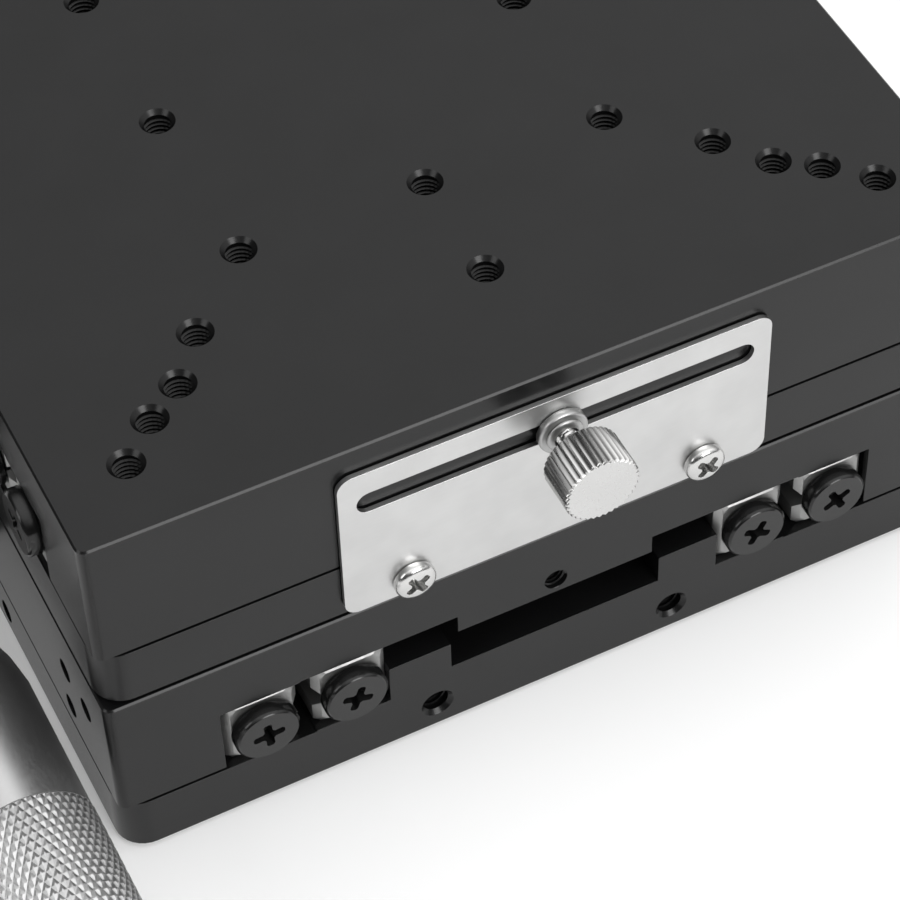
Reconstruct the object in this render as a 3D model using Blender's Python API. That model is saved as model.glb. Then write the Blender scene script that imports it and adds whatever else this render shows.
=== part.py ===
"""Two-axis manual positioning stage: two crossed-roller stages, the upper one turned a quarter turn.

Each stage is modelled once, in its own frame: X across the travel, Y along it, Z up, with its origin at the
centre of the underside. The micrometer is on the -X side and the lock plate on the +X side. An empty places
the stage: the lower one as it is, the upper one on top and turned. Lengths are in metres.
"""

from math import cos, pi, radians, sin, sqrt

import bmesh
import bpy
from mathutils import Matrix, Vector

MM = 0.001

# Plates
SIDE = 120.0 * MM
FLANGE = 9.5 * MM
SEAM = 0.4 * MM
TABLE_PLATE = 9.0 * MM
BASE_CORNER = 4.0 * MM
TABLE_CORNER = 1.3 * MM
BASE_FOOT_CHAMFER = 0.9 * MM
TABLE_EDGE_CHAMFER = 0.5 * MM
SHOULDER_RISE = 6.5 * MM
RECESS_RISE = 1.9 * MM
RECESS_HALF = 15.1 * MM
PAD_DROP = 3.0 * MM
PAD_HALF = 13.6 * MM
SKIRT_GAP = 0.4 * MM

# Rails and rollers
RAIL_HEIGHT = 11.0 * MM
RAIL_WIDTH = 10.0 * MM
RAIL_GAP = 2.0 * MM
RAIL_PAIR_CENTRE = 34.5 * MM
RAIL_SETBACK = 0.5 * MM
RAIL_CHAMFER = 0.9 * MM
SEAT_RISE = 0.2 * MM
ROLLER_DIAMETER = 4.0 * MM
ROLLER_PITCH = 7.0 * MM
ROLLER_COUNT = 13
ROLLER_CLEARANCE = 0.05 * MM
CAGE_THICKNESS = 0.8 * MM
CAGE_HEIGHT = 8.6 * MM
CAGE_END = 4.0 * MM

# Motion
HALF_TRAVEL = 25.0 * MM

# Fasteners
END_HEAD_RADIUS = 4.2 * MM
END_HEAD_THICK = 1.9 * MM
END_HEAD_EDGE = 0.35 * MM
END_SHANK_RADIUS = 1.5 * MM
END_SHANK_LENGTH = 7.0 * MM
PAN_HEAD_RADIUS = 2.65 * MM
PAN_HEAD_THICK = 1.6 * MM
PAN_DOME_SHARES = ((0.0, 1.0), (0.6, 0.95), (1.0, 0.6))
SMALL_SHANK_RADIUS = 1.4 * MM
PAN_SHANK_LENGTH = 5.0 * MM
BORE_CLEARANCE = 0.2 * MM
BLIND_EXTRA = 1.0 * MM

# Tapped holes
TAP_RADIUS = 1.75 * MM
TAP_RIM_RADIUS = 2.25 * MM
TAP_DEPTH = 8.0 * MM
GRID_DIAGONALS = (25.0 * MM, 35.0 * MM, 45.0 * MM, 50.0 * MM)
GRID_CROSS = 25.0 * MM
RAIL_HOLE_ACROSS = 41.5 * MM
RAIL_HOLE_PITCH = 40.0 * MM
FOOT_HOLE_PLACE = 50.0 * MM
FOOT_HOLE_RADIUS = 2.25 * MM
FOOT_BORE_RADIUS = 4.0 * MM
FOOT_BORE_DEPTH = 4.5 * MM
END_TAP_PLACE = 17.0 * MM
END_TAP_HEIGHT = 5.0 * MM
PAD_HOLE_RADIUS = 1.45 * MM
PAD_HOLE_HEIGHT = 20.5 * MM
SIDE_TAP_RADIUS = 1.6 * MM
SIDE_TAP_DEPTH = 6.0 * MM

# Lock plate and screw
LOCK_PLATE_THICK = 0.8 * MM
LOCK_PLATE_END = 2.35 * MM
LOCK_PLATE_BOTTOM = 1.7 * MM
LOCK_PLATE_ABOVE_SLOT = 5.4 * MM
LOCK_PLATE_CORNER = 2.0 * MM
LOCK_GAP = 0.1 * MM
LOCK_SLOT_WIDTH = 3.3 * MM
LOCK_SLOT_HEIGHT = 20.8 * MM
PLATE_SCREW_INSET = 9.0 * MM
PLATE_SCREW_HEIGHT = 4.4 * MM
LOCK_STUD_RADIUS = 1.45 * MM
LOCK_STUD_REACH = 7.0 * MM
LOCK_WASHER_RADIUS = 3.3 * MM
LOCK_WASHER_THICK = 1.2 * MM
SPRING_WASHER_RADIUS = 2.4 * MM
SPRING_WASHER_THICK = 1.0 * MM
LOCK_OPEN = 2.7 * MM
KNOB_RADIUS = 4.95 * MM
KNOB_FLUTE = 0.3 * MM
KNOB_FLUTES = 36
KNOB_LENGTH = 6.0 * MM
KNOB_EDGE = 0.2 * MM
KNOB_SOCKET = 4.0 * MM

# Micrometer, its bracket and its anvil
MIC_OUT = 12.65 * MM
MIC_HEIGHT = 15.0 * MM
BRACKET_FRONT = 4.5 * MM
BRACKET_LENGTH = 17.0 * MM
BRACKET_WALL = 4.0 * MM
BRACKET_FOOT = 0.8 * MM
BRACKET_FOOT_OUT = 13.6 * MM
BRACKET_RELIEF = 0.6 * MM
BRACKET_RELIEF_DROP = 0.3 * MM
BRACKET_SLIT = 1.2 * MM
BRACKET_ARC_START = radians(90.0)
BRACKET_ARC = radians(135.0)
STEM_RADIUS = 6.0 * MM
BARREL_RADIUS = 7.0 * MM
BARREL_LENGTH = 62.0 * MM
BARREL_SHOWN = 30.0 * MM
SPINDLE_RADIUS = 3.2 * MM
MIC_RUNNING_GAP = 0.3 * MM
THIMBLE_RADIUS = 9.0 * MM
THIMBLE_LIP = 0.25 * MM
THIMBLE_BEVEL_STEEP = 3.0 * MM
THIMBLE_BEVEL_LENGTH = 7.0 * MM
BEVEL_RISE_SHARE = 0.62
THIMBLE_SMOOTH_LENGTH = 27.7 * MM
THIMBLE_GROOVE = 0.6 * MM
THIMBLE_KNURL_RISE = 0.1 * MM
THIMBLE_KNURL_LENGTH = 28.0 * MM
THIMBLE_END_WALL = 5.0 * MM
CAP_RADIUS = 6.5 * MM
CAP_NECK_RADIUS = 4.0 * MM
CAP_NECK = 1.2 * MM
CAP_LENGTH = 12.0 * MM
CAP_FLUTE = 0.3 * MM
CAP_EDGE = 0.4 * MM
CAP_FLUTES = 16
ANVIL_TAPS = ((44.3 * MM, 19.9 * MM), (51.0 * MM, 19.9 * MM), (44.3 * MM, 12.6 * MM))
ANVIL_MARGIN = 3.1 * MM
ANVIL_BUTTON_RADIUS = 4.0 * MM
ANVIL_BUTTON_RISE = 0.7 * MM
ANVIL_BLOCK_OUT = 19.0 * MM
ANVIL_TIP_GAP = 0.3 * MM
ANVIL_CHAMFER = 1.0 * MM

# Return spring in the recess
SPRING_RADIUS = 2.2 * MM
SPRING_WIRE = 0.5 * MM
SPRING_FIXED_PLACE = 50.0 * MM
SPRING_MOVING_PLACE = 12.0 * MM
SPRING_POST_RADIUS = 1.2 * MM
SPRING_POST_OVERLAP = 0.5 * MM
SPRING_POST_SIDE_GAP = 0.3 * MM

# Shared small values
SEAT = 0.05 * MM
OVERRUN = 1.0 * MM
HOLE_STEPS = 10
SMALL_STEPS = 12
HEAD_STEPS = 12
ROUND_STEPS = 24
ROLLER_STEPS = 8
CORNER_STEPS = 4
ARC_STEPS = 10
SHARP_ANGLE = radians(35.0)

# Heights worked out from the stack
HALF = SIDE / 2
RAIL_BOTTOM = FLANGE + SEAT_RISE + SEAT
RAIL_MIDDLE = RAIL_BOTTOM + RAIL_HEIGHT / 2
OUTER_CEILING = RAIL_BOTTOM + RAIL_HEIGHT + SEAT
CEILING = OUTER_CEILING + SEAT_RISE
STAGE_HEIGHT = CEILING + TABLE_PLATE
SKIRT_BOTTOM = FLANGE + SEAM
INNER_FACE = RAIL_PAIR_CENTRE - RAIL_GAP / 2 - RAIL_WIDTH
OUTER_FACE = RAIL_PAIR_CENTRE + RAIL_GAP / 2 + RAIL_WIDTH
RAIL_LENGTH = SIDE - 2 * RAIL_SETBACK
LOCK_FACE = HALF + LOCK_GAP + LOCK_PLATE_THICK
LOCK_SLOT_HALF = HALF_TRAVEL + LOCK_SLOT_WIDTH / 2
LOCK_PLATE_HALF = LOCK_SLOT_HALF + LOCK_PLATE_END
LOCK_PLATE_HEIGHT = LOCK_SLOT_HEIGHT + LOCK_PLATE_ABOVE_SLOT - LOCK_PLATE_BOTTOM
PLATE_SCREW_PLACE = LOCK_PLATE_HALF - PLATE_SCREW_INSET
MIC_X = -(HALF + MIC_OUT)
BARREL_FRONT = -(BRACKET_FRONT + BARREL_LENGTH)
THIMBLE_REAR = -(BRACKET_FRONT + BARREL_SHOWN)
THIMBLE_BORE = BARREL_RADIUS + MIC_RUNNING_GAP
THIMBLE_INNER_END = BARREL_FRONT - HALF_TRAVEL - MIC_RUNNING_GAP
THIMBLE_FRONT = THIMBLE_INNER_END - THIMBLE_END_WALL
ANVIL_START = ANVIL_TAPS[0][0] - ANVIL_MARGIN
ANVIL_FACE = ANVIL_START - ANVIL_BUTTON_RISE


def clear_scene():
    for obj in list(bpy.data.objects):
        bpy.data.objects.remove(obj, do_unlink=True)


def material(name, colour, roughness, metallic):
    made = bpy.data.materials.new(name)
    made.use_nodes = True
    shader = made.node_tree.nodes["Principled BSDF"]
    shader.inputs["Base Color"].default_value = (*colour, 1.0)
    shader.inputs["Roughness"].default_value = roughness
    shader.inputs["Metallic"].default_value = metallic
    made.diffuse_color = (*colour, 1.0)
    return made


def object_from(bm, name, finish, parent):
    """Turns a bmesh into a named object with outward normals, parented to its stage."""
    bmesh.ops.recalc_face_normals(bm, faces=bm.faces)
    mesh = bpy.data.meshes.new(name)
    bm.to_mesh(mesh)
    bm.free()
    mesh.shade_smooth()
    mesh.set_sharp_from_angle(angle=SHARP_ANGLE)
    if finish is not None:
        mesh.materials.append(finish)
    made = bpy.data.objects.new(name, mesh)
    bpy.context.scene.collection.objects.link(made)
    made.parent = parent
    return made


def close_rings(bm, rings, capped=True):
    """Joins rings of vertices side by side, and closes the two ends or the loop of rings."""
    pairs = list(zip(rings, rings[1:]))
    if not capped:
        pairs.append((rings[-1], rings[0]))
    for low, high in pairs:
        for i in range(len(low)):
            j = (i + 1) % len(low)
            bm.faces.new((low[i], low[j], high[j], high[i]))
    if capped:
        bm.faces.new(rings[0][::-1])
        bm.faces.new(rings[-1])


def prism(outline, start, end):
    """A closed outline in X and Z, extruded along Y."""
    bm = bmesh.new()
    rings = [[bm.verts.new((x, y, z)) for x, z in outline] for y in (start, end)]
    close_rings(bm, rings)
    return bm


def lathe(profile, steps, axis, centre=(0, 0, 0), closed=False, flutes=None):
    """A profile of (place along the axis, radius) turned about an axis through the centre.

    An open profile gets flat ends. A closed one makes a ring with a bore. With flutes, every second step of
    the stretch that flutes names is drawn in by its depth.
    """
    bm = bmesh.new()
    along = {"X": Vector((1, 0, 0)), "Y": Vector((0, 1, 0)), "Z": Vector((0, 0, 1))}[axis]
    side = {"X": Vector((0, 1, 0)), "Y": Vector((0, 0, 1)), "Z": Vector((1, 0, 0))}[axis]
    up = along.cross(side)
    first, last, depth = flutes if flutes else (0, -1, 0)
    rings = []
    for number, (place, radius) in enumerate(profile):
        ring = []
        for step in range(steps):
            turn = 2 * pi * step / steps
            cut = depth if first <= number <= last and step % 2 else 0
            spoke = side * cos(turn) + up * sin(turn)
            ring.append(bm.verts.new(Vector(centre) + along * place + spoke * (radius - cut)))
        rings.append(ring)
    close_rings(bm, rings, capped=not closed)
    return bm


def corner_points(half_x, half_y, radius):
    """Points round a rectangle with round corners, all four arcs drawn alike."""
    points = []
    for quarter, (sx, sy) in enumerate(((1, 1), (-1, 1), (-1, -1), (1, -1))):
        for step in range(CORNER_STEPS + 1):
            turn = pi / 2 * (quarter + step / CORNER_STEPS)
            x = sx * (half_x - radius) + radius * cos(turn)
            y = sy * (half_y - radius) + radius * sin(turn)
            points.append((x, y))
    return points


def rounded_slab(half, corner, levels):
    """A square slab with round corners. Each level is (height, how far its outline is drawn in)."""
    bm = bmesh.new()
    rings = []
    for height, inset in levels:
        outline = corner_points(half - inset, half - inset, corner - inset)
        rings.append([bm.verts.new((x, y, height)) for x, y in outline])
    close_rings(bm, rings)
    return bm


def merge(target, source):
    """Adds the shells of one bmesh to another, for a tool that cuts or joins in many places at once."""
    mesh = bpy.data.meshes.new("merge")
    source.to_mesh(mesh)
    source.free()
    target.from_mesh(mesh)
    bpy.data.meshes.remove(mesh)
    return target


def apply_tool(body, tool, operation, name):
    """Cuts or joins the tool, applies the Boolean and marks the sharp edges of the result."""
    helper = object_from(tool, f"{body.name}_{name}", None, body.parent)
    helper.hide_render = True
    helper.display_type = "WIRE"
    boolean = body.modifiers.new(name, "BOOLEAN")
    boolean.operation = operation
    boolean.solver = "EXACT"
    boolean.object = helper
    before = body.data
    graph = bpy.context.evaluated_depsgraph_get()
    body.data = bpy.data.meshes.new_from_object(body.evaluated_get(graph))
    body.data.name = body.name
    body.modifiers.clear()
    body.data.shade_smooth()
    body.data.set_sharp_from_angle(angle=SHARP_ANGLE)
    bpy.data.objects.remove(helper, do_unlink=True)
    bpy.data.meshes.remove(before)


def hole(axis, mouth, out, depth, radius, rim=0):
    """A blind hole's cutter. The mouth is a point on the face and out is the sign of the way out of it."""
    chamfer = max(rim - radius, 0)
    profile = [(-depth, radius), (-chamfer, radius), (0, radius + chamfer)]
    if not chamfer:
        profile = [(-depth, radius), (0, radius)]
    profile.append((OVERRUN, radius + chamfer))
    return lathe([(out * place, r) for place, r in profile], HOLE_STEPS, axis, mouth)


def cutters(holes):
    tool = bmesh.new()
    for each in holes:
        merge(tool, each)
    return tool


def base_plate(stage, finishes):
    """Flange with a raised centre: its shoulders hold the inner rails and its recess the spring."""
    shoulder = INNER_FACE - SEAT
    seat_edge = RAIL_PAIR_CENTRE - RAIL_GAP / 2 + SEAT_RISE
    half_outline = [
        (HALF + OVERRUN, FLANGE),
        (seat_edge, FLANGE),
        (seat_edge, FLANGE + SEAT_RISE),
        (shoulder, FLANGE + SEAT_RISE),
        (shoulder, FLANGE + SHOULDER_RISE),
        (RECESS_HALF, FLANGE + SHOULDER_RISE),
        (RECESS_HALF, FLANGE + RECESS_RISE),
    ]
    outline = half_outline + [(-x, z) for x, z in reversed(half_outline)]
    outline += [(-HALF - OVERRUN, -OVERRUN), (HALF + OVERRUN, -OVERRUN)]
    blank = prism(outline, -HALF - OVERRUN, HALF + OVERRUN)
    base = object_from(blank, f"{stage.name}_base", finishes["black"], stage)
    top = FLANGE + SHOULDER_RISE + OVERRUN
    envelope = rounded_slab(HALF, BASE_CORNER, [(0, BASE_FOOT_CHAMFER), (BASE_FOOT_CHAMFER, 0), (top, 0)])
    apply_tool(base, envelope, "INTERSECT", "envelope")
    post = lathe(
        [(FLANGE, SPRING_POST_RADIUS), (spring_height() + SPRING_WIRE, SPRING_POST_RADIUS)],
        SMALL_STEPS,
        "Z",
        (0, -SPRING_FIXED_PLACE, 0),
    )
    apply_tool(base, post, "UNION", "spring_post")
    holes = []
    for sx in (-1, 1):
        for sy in (-1, 1):
            x, y = sx * FOOT_HOLE_PLACE, sy * FOOT_HOLE_PLACE
            through = [(-OVERRUN, FOOT_HOLE_RADIUS), (FLANGE - FOOT_BORE_DEPTH, FOOT_HOLE_RADIUS)]
            bore = [(FLANGE - FOOT_BORE_DEPTH, FOOT_BORE_RADIUS), (FLANGE + OVERRUN, FOOT_BORE_RADIUS)]
            holes.append(lathe(through + bore, HOLE_STEPS, "Z", (x, y, 0)))
            mouth = (sx * END_TAP_PLACE, sy * HALF, END_TAP_HEIGHT)
            holes.append(hole("Y", mouth, sy, TAP_DEPTH, TAP_RADIUS, TAP_RIM_RADIUS))
            mouth = (sx * HALF, sy * PLATE_SCREW_PLACE, PLATE_SCREW_HEIGHT)
            holes.append(hole("X", mouth, sx, SIDE_TAP_DEPTH, SIDE_TAP_RADIUS))
    apply_tool(base, cutters(holes), "DIFFERENCE", "holes")
    return base


def table_plate(stage, finishes, full_grid):
    """Plate with two skirts over the outer rails, and a pad that reaches down over the base's recess."""
    levels = [
        (SKIRT_BOTTOM, 0),
        (STAGE_HEIGHT - TABLE_EDGE_CHAMFER, 0),
        (STAGE_HEIGHT, TABLE_EDGE_CHAMFER),
    ]
    slab = rounded_slab(HALF, TABLE_CORNER, levels)
    table = object_from(slab, f"{stage.name}_table", finishes["black"], stage)
    skirt = OUTER_FACE + SKIRT_GAP
    seat_edge = RAIL_PAIR_CENTRE + RAIL_GAP / 2 - SEAT_RISE
    half_outline = [
        (skirt, SKIRT_BOTTOM - OVERRUN),
        (skirt, OUTER_CEILING),
        (seat_edge, OUTER_CEILING),
        (seat_edge, CEILING),
        (PAD_HALF, CEILING),
        (PAD_HALF, CEILING - PAD_DROP),
    ]
    outline = half_outline + [(-x, z) for x, z in reversed(half_outline)]
    apply_tool(table, prism(outline, -HALF - OVERRUN, HALF + OVERRUN), "DIFFERENCE", "pocket")
    post = lathe(
        [(spring_height() - SPRING_WIRE, SPRING_POST_RADIUS), (CEILING, SPRING_POST_RADIUS)],
        SMALL_STEPS,
        "Z",
        (0, SPRING_MOVING_PLACE, 0),
    )
    apply_tool(table, post, "UNION", "spring_post")
    corners = GRID_DIAGONALS if full_grid else (FOOT_HOLE_PLACE,)
    places = [(sx * d, sy * d) for d in corners for sx in (-1, 1) for sy in (-1, 1)]
    if full_grid:
        places += [(GRID_CROSS, 0), (-GRID_CROSS, 0), (0, GRID_CROSS), (0, -GRID_CROSS)]
        for sx in (-1, 1):
            places += [(sx * RAIL_HOLE_ACROSS, n * RAIL_HOLE_PITCH) for n in (-1, 0, 1)]
    holes = []
    for x, y in places:
        holes.append(hole("Z", (x, y, STAGE_HEIGHT), 1, TAP_DEPTH, TAP_RADIUS, TAP_RIM_RADIUS))
    for sy in (-1, 1):
        mouth = (0, sy * HALF, PAD_HOLE_HEIGHT)
        holes.append(hole("Y", mouth, sy, TAP_DEPTH, PAD_HOLE_RADIUS))
        for place, height in ANVIL_TAPS:
            mouth = (-HALF, sy * place, height)
            holes.append(hole("X", mouth, -1, SIDE_TAP_DEPTH, SIDE_TAP_RADIUS))
    stud_bore = LOCK_STUD_RADIUS + BORE_CLEARANCE
    stud_depth = LOCK_STUD_REACH + LOCK_OPEN + BLIND_EXTRA
    holes.append(hole("X", (HALF, 0, LOCK_SLOT_HEIGHT), 1, stud_depth, stud_bore))
    apply_tool(table, cutters(holes), "DIFFERENCE", "holes")
    return table


def groove_depth():
    return ROLLER_DIAMETER / sqrt(2) - RAIL_GAP / 2


def rail(stage, finishes, name, centre_x, groove_side):
    """A ground rail with a 90 degree groove on the side that faces its partner."""
    half = RAIL_WIDTH / 2
    high = RAIL_HEIGHT / 2
    cut = RAIL_CHAMFER
    deep = groove_depth()
    outline = [
        (half, -high + cut),
        (half, -deep),
        (half - deep, 0),
        (half, deep),
        (half, high - cut),
        (half - cut, high),
        (-half + cut, high),
        (-half, high - cut),
        (-half, -high + cut),
        (-half + cut, -high),
        (half - cut, -high),
    ]
    outline = [(centre_x + groove_side * x, RAIL_MIDDLE + z) for x, z in outline]
    made = object_from(prism(outline, -RAIL_LENGTH / 2, RAIL_LENGTH / 2), name, finishes["rail"], stage)
    holes = []
    for side in (-1, 1):
        mouth = (centre_x, side * RAIL_LENGTH / 2, RAIL_MIDDLE)
        depth = END_SHANK_LENGTH + BLIND_EXTRA
        holes.append(hole("Y", mouth, side, depth, END_SHANK_RADIUS + BORE_CLEARANCE))
    apply_tool(made, cutters(holes), "DIFFERENCE", "end_holes")
    return made


def end_screw(stage, finishes, name, centre_x, side):
    """Large flat head over a short shank. The head reaches over the groove and stops the roller cage."""
    face = RAIL_LENGTH / 2 + SEAT
    profile = [
        (face - END_SHANK_LENGTH, END_SHANK_RADIUS),
        (face, END_SHANK_RADIUS),
        (face, END_HEAD_RADIUS),
        (face + END_HEAD_THICK - END_HEAD_EDGE, END_HEAD_RADIUS),
        (face + END_HEAD_THICK, END_HEAD_RADIUS - END_HEAD_EDGE),
    ]
    turned = lathe([(side * y, r) for y, r in profile], HEAD_STEPS, "Y", (centre_x, 0, RAIL_MIDDLE))
    return object_from(turned, name, finishes["dark_steel"], stage)


def roller_cage(stage, finishes, name, centre_x):
    """A thin strip with crossed rollers: each roller's axis is square to that of the next one."""
    length = (ROLLER_COUNT - 1) * ROLLER_PITCH + 2 * CAGE_END
    half_outline = [(CAGE_THICKNESS / 2, -CAGE_HEIGHT / 2), (CAGE_THICKNESS / 2, CAGE_HEIGHT / 2)]
    outline = half_outline + [(-x, z) for x, z in reversed(half_outline)]
    outline = [(centre_x + x, RAIL_MIDDLE + z) for x, z in outline]
    cage = object_from(prism(outline, -length / 2, length / 2), name, finishes["brass"], stage)
    radius = ROLLER_DIAMETER / 2 - ROLLER_CLEARANCE
    half = ROLLER_DIAMETER / 2 - 2 * ROLLER_CLEARANCE
    rollers = bmesh.new()
    for number in range(ROLLER_COUNT):
        one = lathe([(-half, radius), (half, radius)], ROLLER_STEPS, "X")
        lean = pi / 4 if number % 2 else -pi / 4
        place = Vector((centre_x, (number - (ROLLER_COUNT - 1) / 2) * ROLLER_PITCH, RAIL_MIDDLE))
        turned = Matrix.Translation(place) @ Matrix.Rotation(lean, 4, "Y")
        bmesh.ops.transform(one, matrix=turned, verts=one.verts)
        merge(rollers, one)
    apply_tool(cage, rollers, "UNION", "rollers")
    return cage


def rails_and_rollers(stage, finishes):
    offset = RAIL_GAP / 2 + RAIL_WIDTH / 2
    for label, side in (("left", -1), ("right", 1)):
        pair = side * RAIL_PAIR_CENTRE
        for role, outward in (("inner", -1), ("outer", 1)):
            name = f"{stage.name}_{role}_rail_{label}"
            centre_x = pair + outward * side * offset
            rail(stage, finishes, name, centre_x, -outward * side)
            end_screw(stage, finishes, f"{name}_front_screw", centre_x, -1)
            end_screw(stage, finishes, f"{name}_rear_screw", centre_x, 1)
        roller_cage(stage, finishes, f"{stage.name}_roller_cage_{label}", pair)


def slot_points(half_length, radius, centre_z):
    """A straight slot's outline in Y and Z, with half-round ends."""
    points = []
    steps = SMALL_STEPS // 2
    for side, start in ((1, -pi / 2), (-1, pi / 2)):
        for step in range(steps + 1):
            turn = start + pi * step / steps
            y = side * (half_length - radius) + radius * cos(turn)
            points.append((y, centre_z + radius * sin(turn)))
    return points


def side_sheet(outline, start, end):
    """A closed outline in Y and Z, extruded along X."""
    bm = bmesh.new()
    rings = [[bm.verts.new((x, y, z)) for y, z in outline] for x in (start, end)]
    close_rings(bm, rings)
    return bm


def lock_plate(stage, finishes):
    """Slotted sheet on the base's side. The lock screw in the table runs along its slot."""
    centre_z = LOCK_PLATE_BOTTOM + LOCK_PLATE_HEIGHT / 2
    outline = corner_points(LOCK_PLATE_HALF, LOCK_PLATE_HEIGHT / 2, LOCK_PLATE_CORNER)
    outline = [(y, centre_z + z) for y, z in outline]
    inner_x = HALF + LOCK_GAP
    sheet = side_sheet(outline, inner_x, LOCK_FACE)
    plate = object_from(sheet, f"{stage.name}_lock_plate", finishes["sheet"], stage)
    slot = slot_points(LOCK_SLOT_HALF, LOCK_SLOT_WIDTH / 2, LOCK_SLOT_HEIGHT)
    tool = side_sheet(slot, inner_x - OVERRUN, LOCK_FACE + OVERRUN)
    through = LOCK_PLATE_THICK + OVERRUN
    for side in (-1, 1):
        mouth = (LOCK_FACE, side * PLATE_SCREW_PLACE, PLATE_SCREW_HEIGHT)
        merge(tool, hole("X", mouth, 1, through, SMALL_SHANK_RADIUS + BORE_CLEARANCE))
    apply_tool(plate, tool, "DIFFERENCE", "openings")
    for label, side in (("front", -1), ("rear", 1)):
        pan_screw(stage, finishes, f"{stage.name}_lock_plate_screw_{label}", side * PLATE_SCREW_PLACE)
    return plate


def pan_screw(stage, finishes, name, place):
    """Pan head screw through the lock plate into the base's side."""
    face = LOCK_FACE + SEAT
    profile = [(face - PAN_SHANK_LENGTH, SMALL_SHANK_RADIUS), (face, SMALL_SHANK_RADIUS)]
    profile += [(face + up * PAN_HEAD_THICK, across * PAN_HEAD_RADIUS) for up, across in PAN_DOME_SHARES]
    turned = lathe(profile, SMALL_STEPS, "X", (0, place, PLATE_SCREW_HEIGHT))
    return object_from(turned, name, finishes["bright_steel"], stage)


def knob_start():
    return LOCK_FACE + SEAT + LOCK_WASHER_THICK + SEAT + SPRING_WASHER_THICK + LOCK_OPEN


def lock_screw(stage, finishes):
    """Washers, stud and fluted knob. The stud's axis is the axis of the knob's joint."""
    axis = bpy.data.objects.new(f"{stage.name}_lock_axis", None)
    bpy.context.scene.collection.objects.link(axis)
    axis.parent = stage
    axis.location = (0, 0, LOCK_SLOT_HEIGHT)
    bore = LOCK_STUD_RADIUS + BORE_CLEARANCE
    start = LOCK_FACE + SEAT
    for name, outer, thick in (
        ("lock_washer", LOCK_WASHER_RADIUS, LOCK_WASHER_THICK),
        ("lock_spring_washer", SPRING_WASHER_RADIUS, SPRING_WASHER_THICK),
    ):
        ring = [(start, bore), (start, outer), (start + thick, outer), (start + thick, bore)]
        turned = lathe(ring, HEAD_STEPS, "X", closed=True)
        object_from(turned, f"{stage.name}_{name}", finishes["bright_steel"], axis)
        start += thick + SEAT
    knob_x = knob_start()
    stud = [(HALF - LOCK_STUD_REACH, LOCK_STUD_RADIUS), (knob_x + KNOB_SOCKET - SEAT, LOCK_STUD_RADIUS)]
    object_from(lathe(stud, SMALL_STEPS, "X"), f"{stage.name}_lock_stud", finishes["bright_steel"], axis)
    end = knob_x + KNOB_LENGTH
    profile = [
        (knob_x, bore),
        (knob_x, KNOB_RADIUS),
        (end - KNOB_EDGE, KNOB_RADIUS),
        (end, KNOB_RADIUS - KNOB_FLUTE),
    ]
    profile = [(knob_x + KNOB_SOCKET, bore)] + profile
    fluted = lathe(profile, 2 * KNOB_FLUTES, "X", flutes=(2, 3, KNOB_FLUTE))
    object_from(fluted, f"{stage.name}_lock_knob", finishes["bright_steel"], axis)


def micrometer(stage, finishes):
    """Barrel, spindle, thimble and friction cap on one axis along the travel."""
    axis = bpy.data.objects.new(f"{stage.name}_micrometer_axis", None)
    bpy.context.scene.collection.objects.link(axis)
    axis.parent = stage
    axis.location = (MIC_X, 0, MIC_HEIGHT)
    rear = BRACKET_LENGTH - BRACKET_FRONT
    bore = SPINDLE_RADIUS + MIC_RUNNING_GAP
    shoulder = -(BRACKET_FRONT + SEAT)
    profile = [
        (BARREL_FRONT, bore),
        (BARREL_FRONT, BARREL_RADIUS),
        (shoulder, BARREL_RADIUS),
        (shoulder, STEM_RADIUS),
        (rear, STEM_RADIUS),
        (rear, bore),
    ]
    turned = lathe(profile, ROUND_STEPS, "Y", closed=True)
    object_from(turned, f"{stage.name}_micrometer_barrel", finishes["chrome"], axis)
    tip = ANVIL_FACE - ANVIL_TIP_GAP
    profile = [(THIMBLE_INNER_END + MIC_RUNNING_GAP, SPINDLE_RADIUS), (tip, SPINDLE_RADIUS)]
    object_from(lathe(profile, SMALL_STEPS, "Y"), f"{stage.name}_spindle", finishes["chrome"], axis)
    thimble(stage, finishes, axis)
    cap_rear = THIMBLE_FRONT - SEAT
    cap_front = cap_rear - CAP_NECK - CAP_LENGTH
    profile = [
        (cap_front, CAP_RADIUS - CAP_FLUTE - CAP_EDGE),
        (cap_front + CAP_EDGE, CAP_RADIUS),
        (cap_rear - CAP_NECK - CAP_EDGE, CAP_RADIUS),
        (cap_rear - CAP_NECK, CAP_RADIUS - CAP_FLUTE - CAP_EDGE),
        (cap_rear - CAP_NECK, CAP_NECK_RADIUS),
        (cap_rear, CAP_NECK_RADIUS),
    ]
    fluted = lathe(profile, 2 * CAP_FLUTES, "Y", flutes=(1, 2, CAP_FLUTE))
    object_from(fluted, f"{stage.name}_friction_cap", finishes["chrome"], axis)


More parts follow.
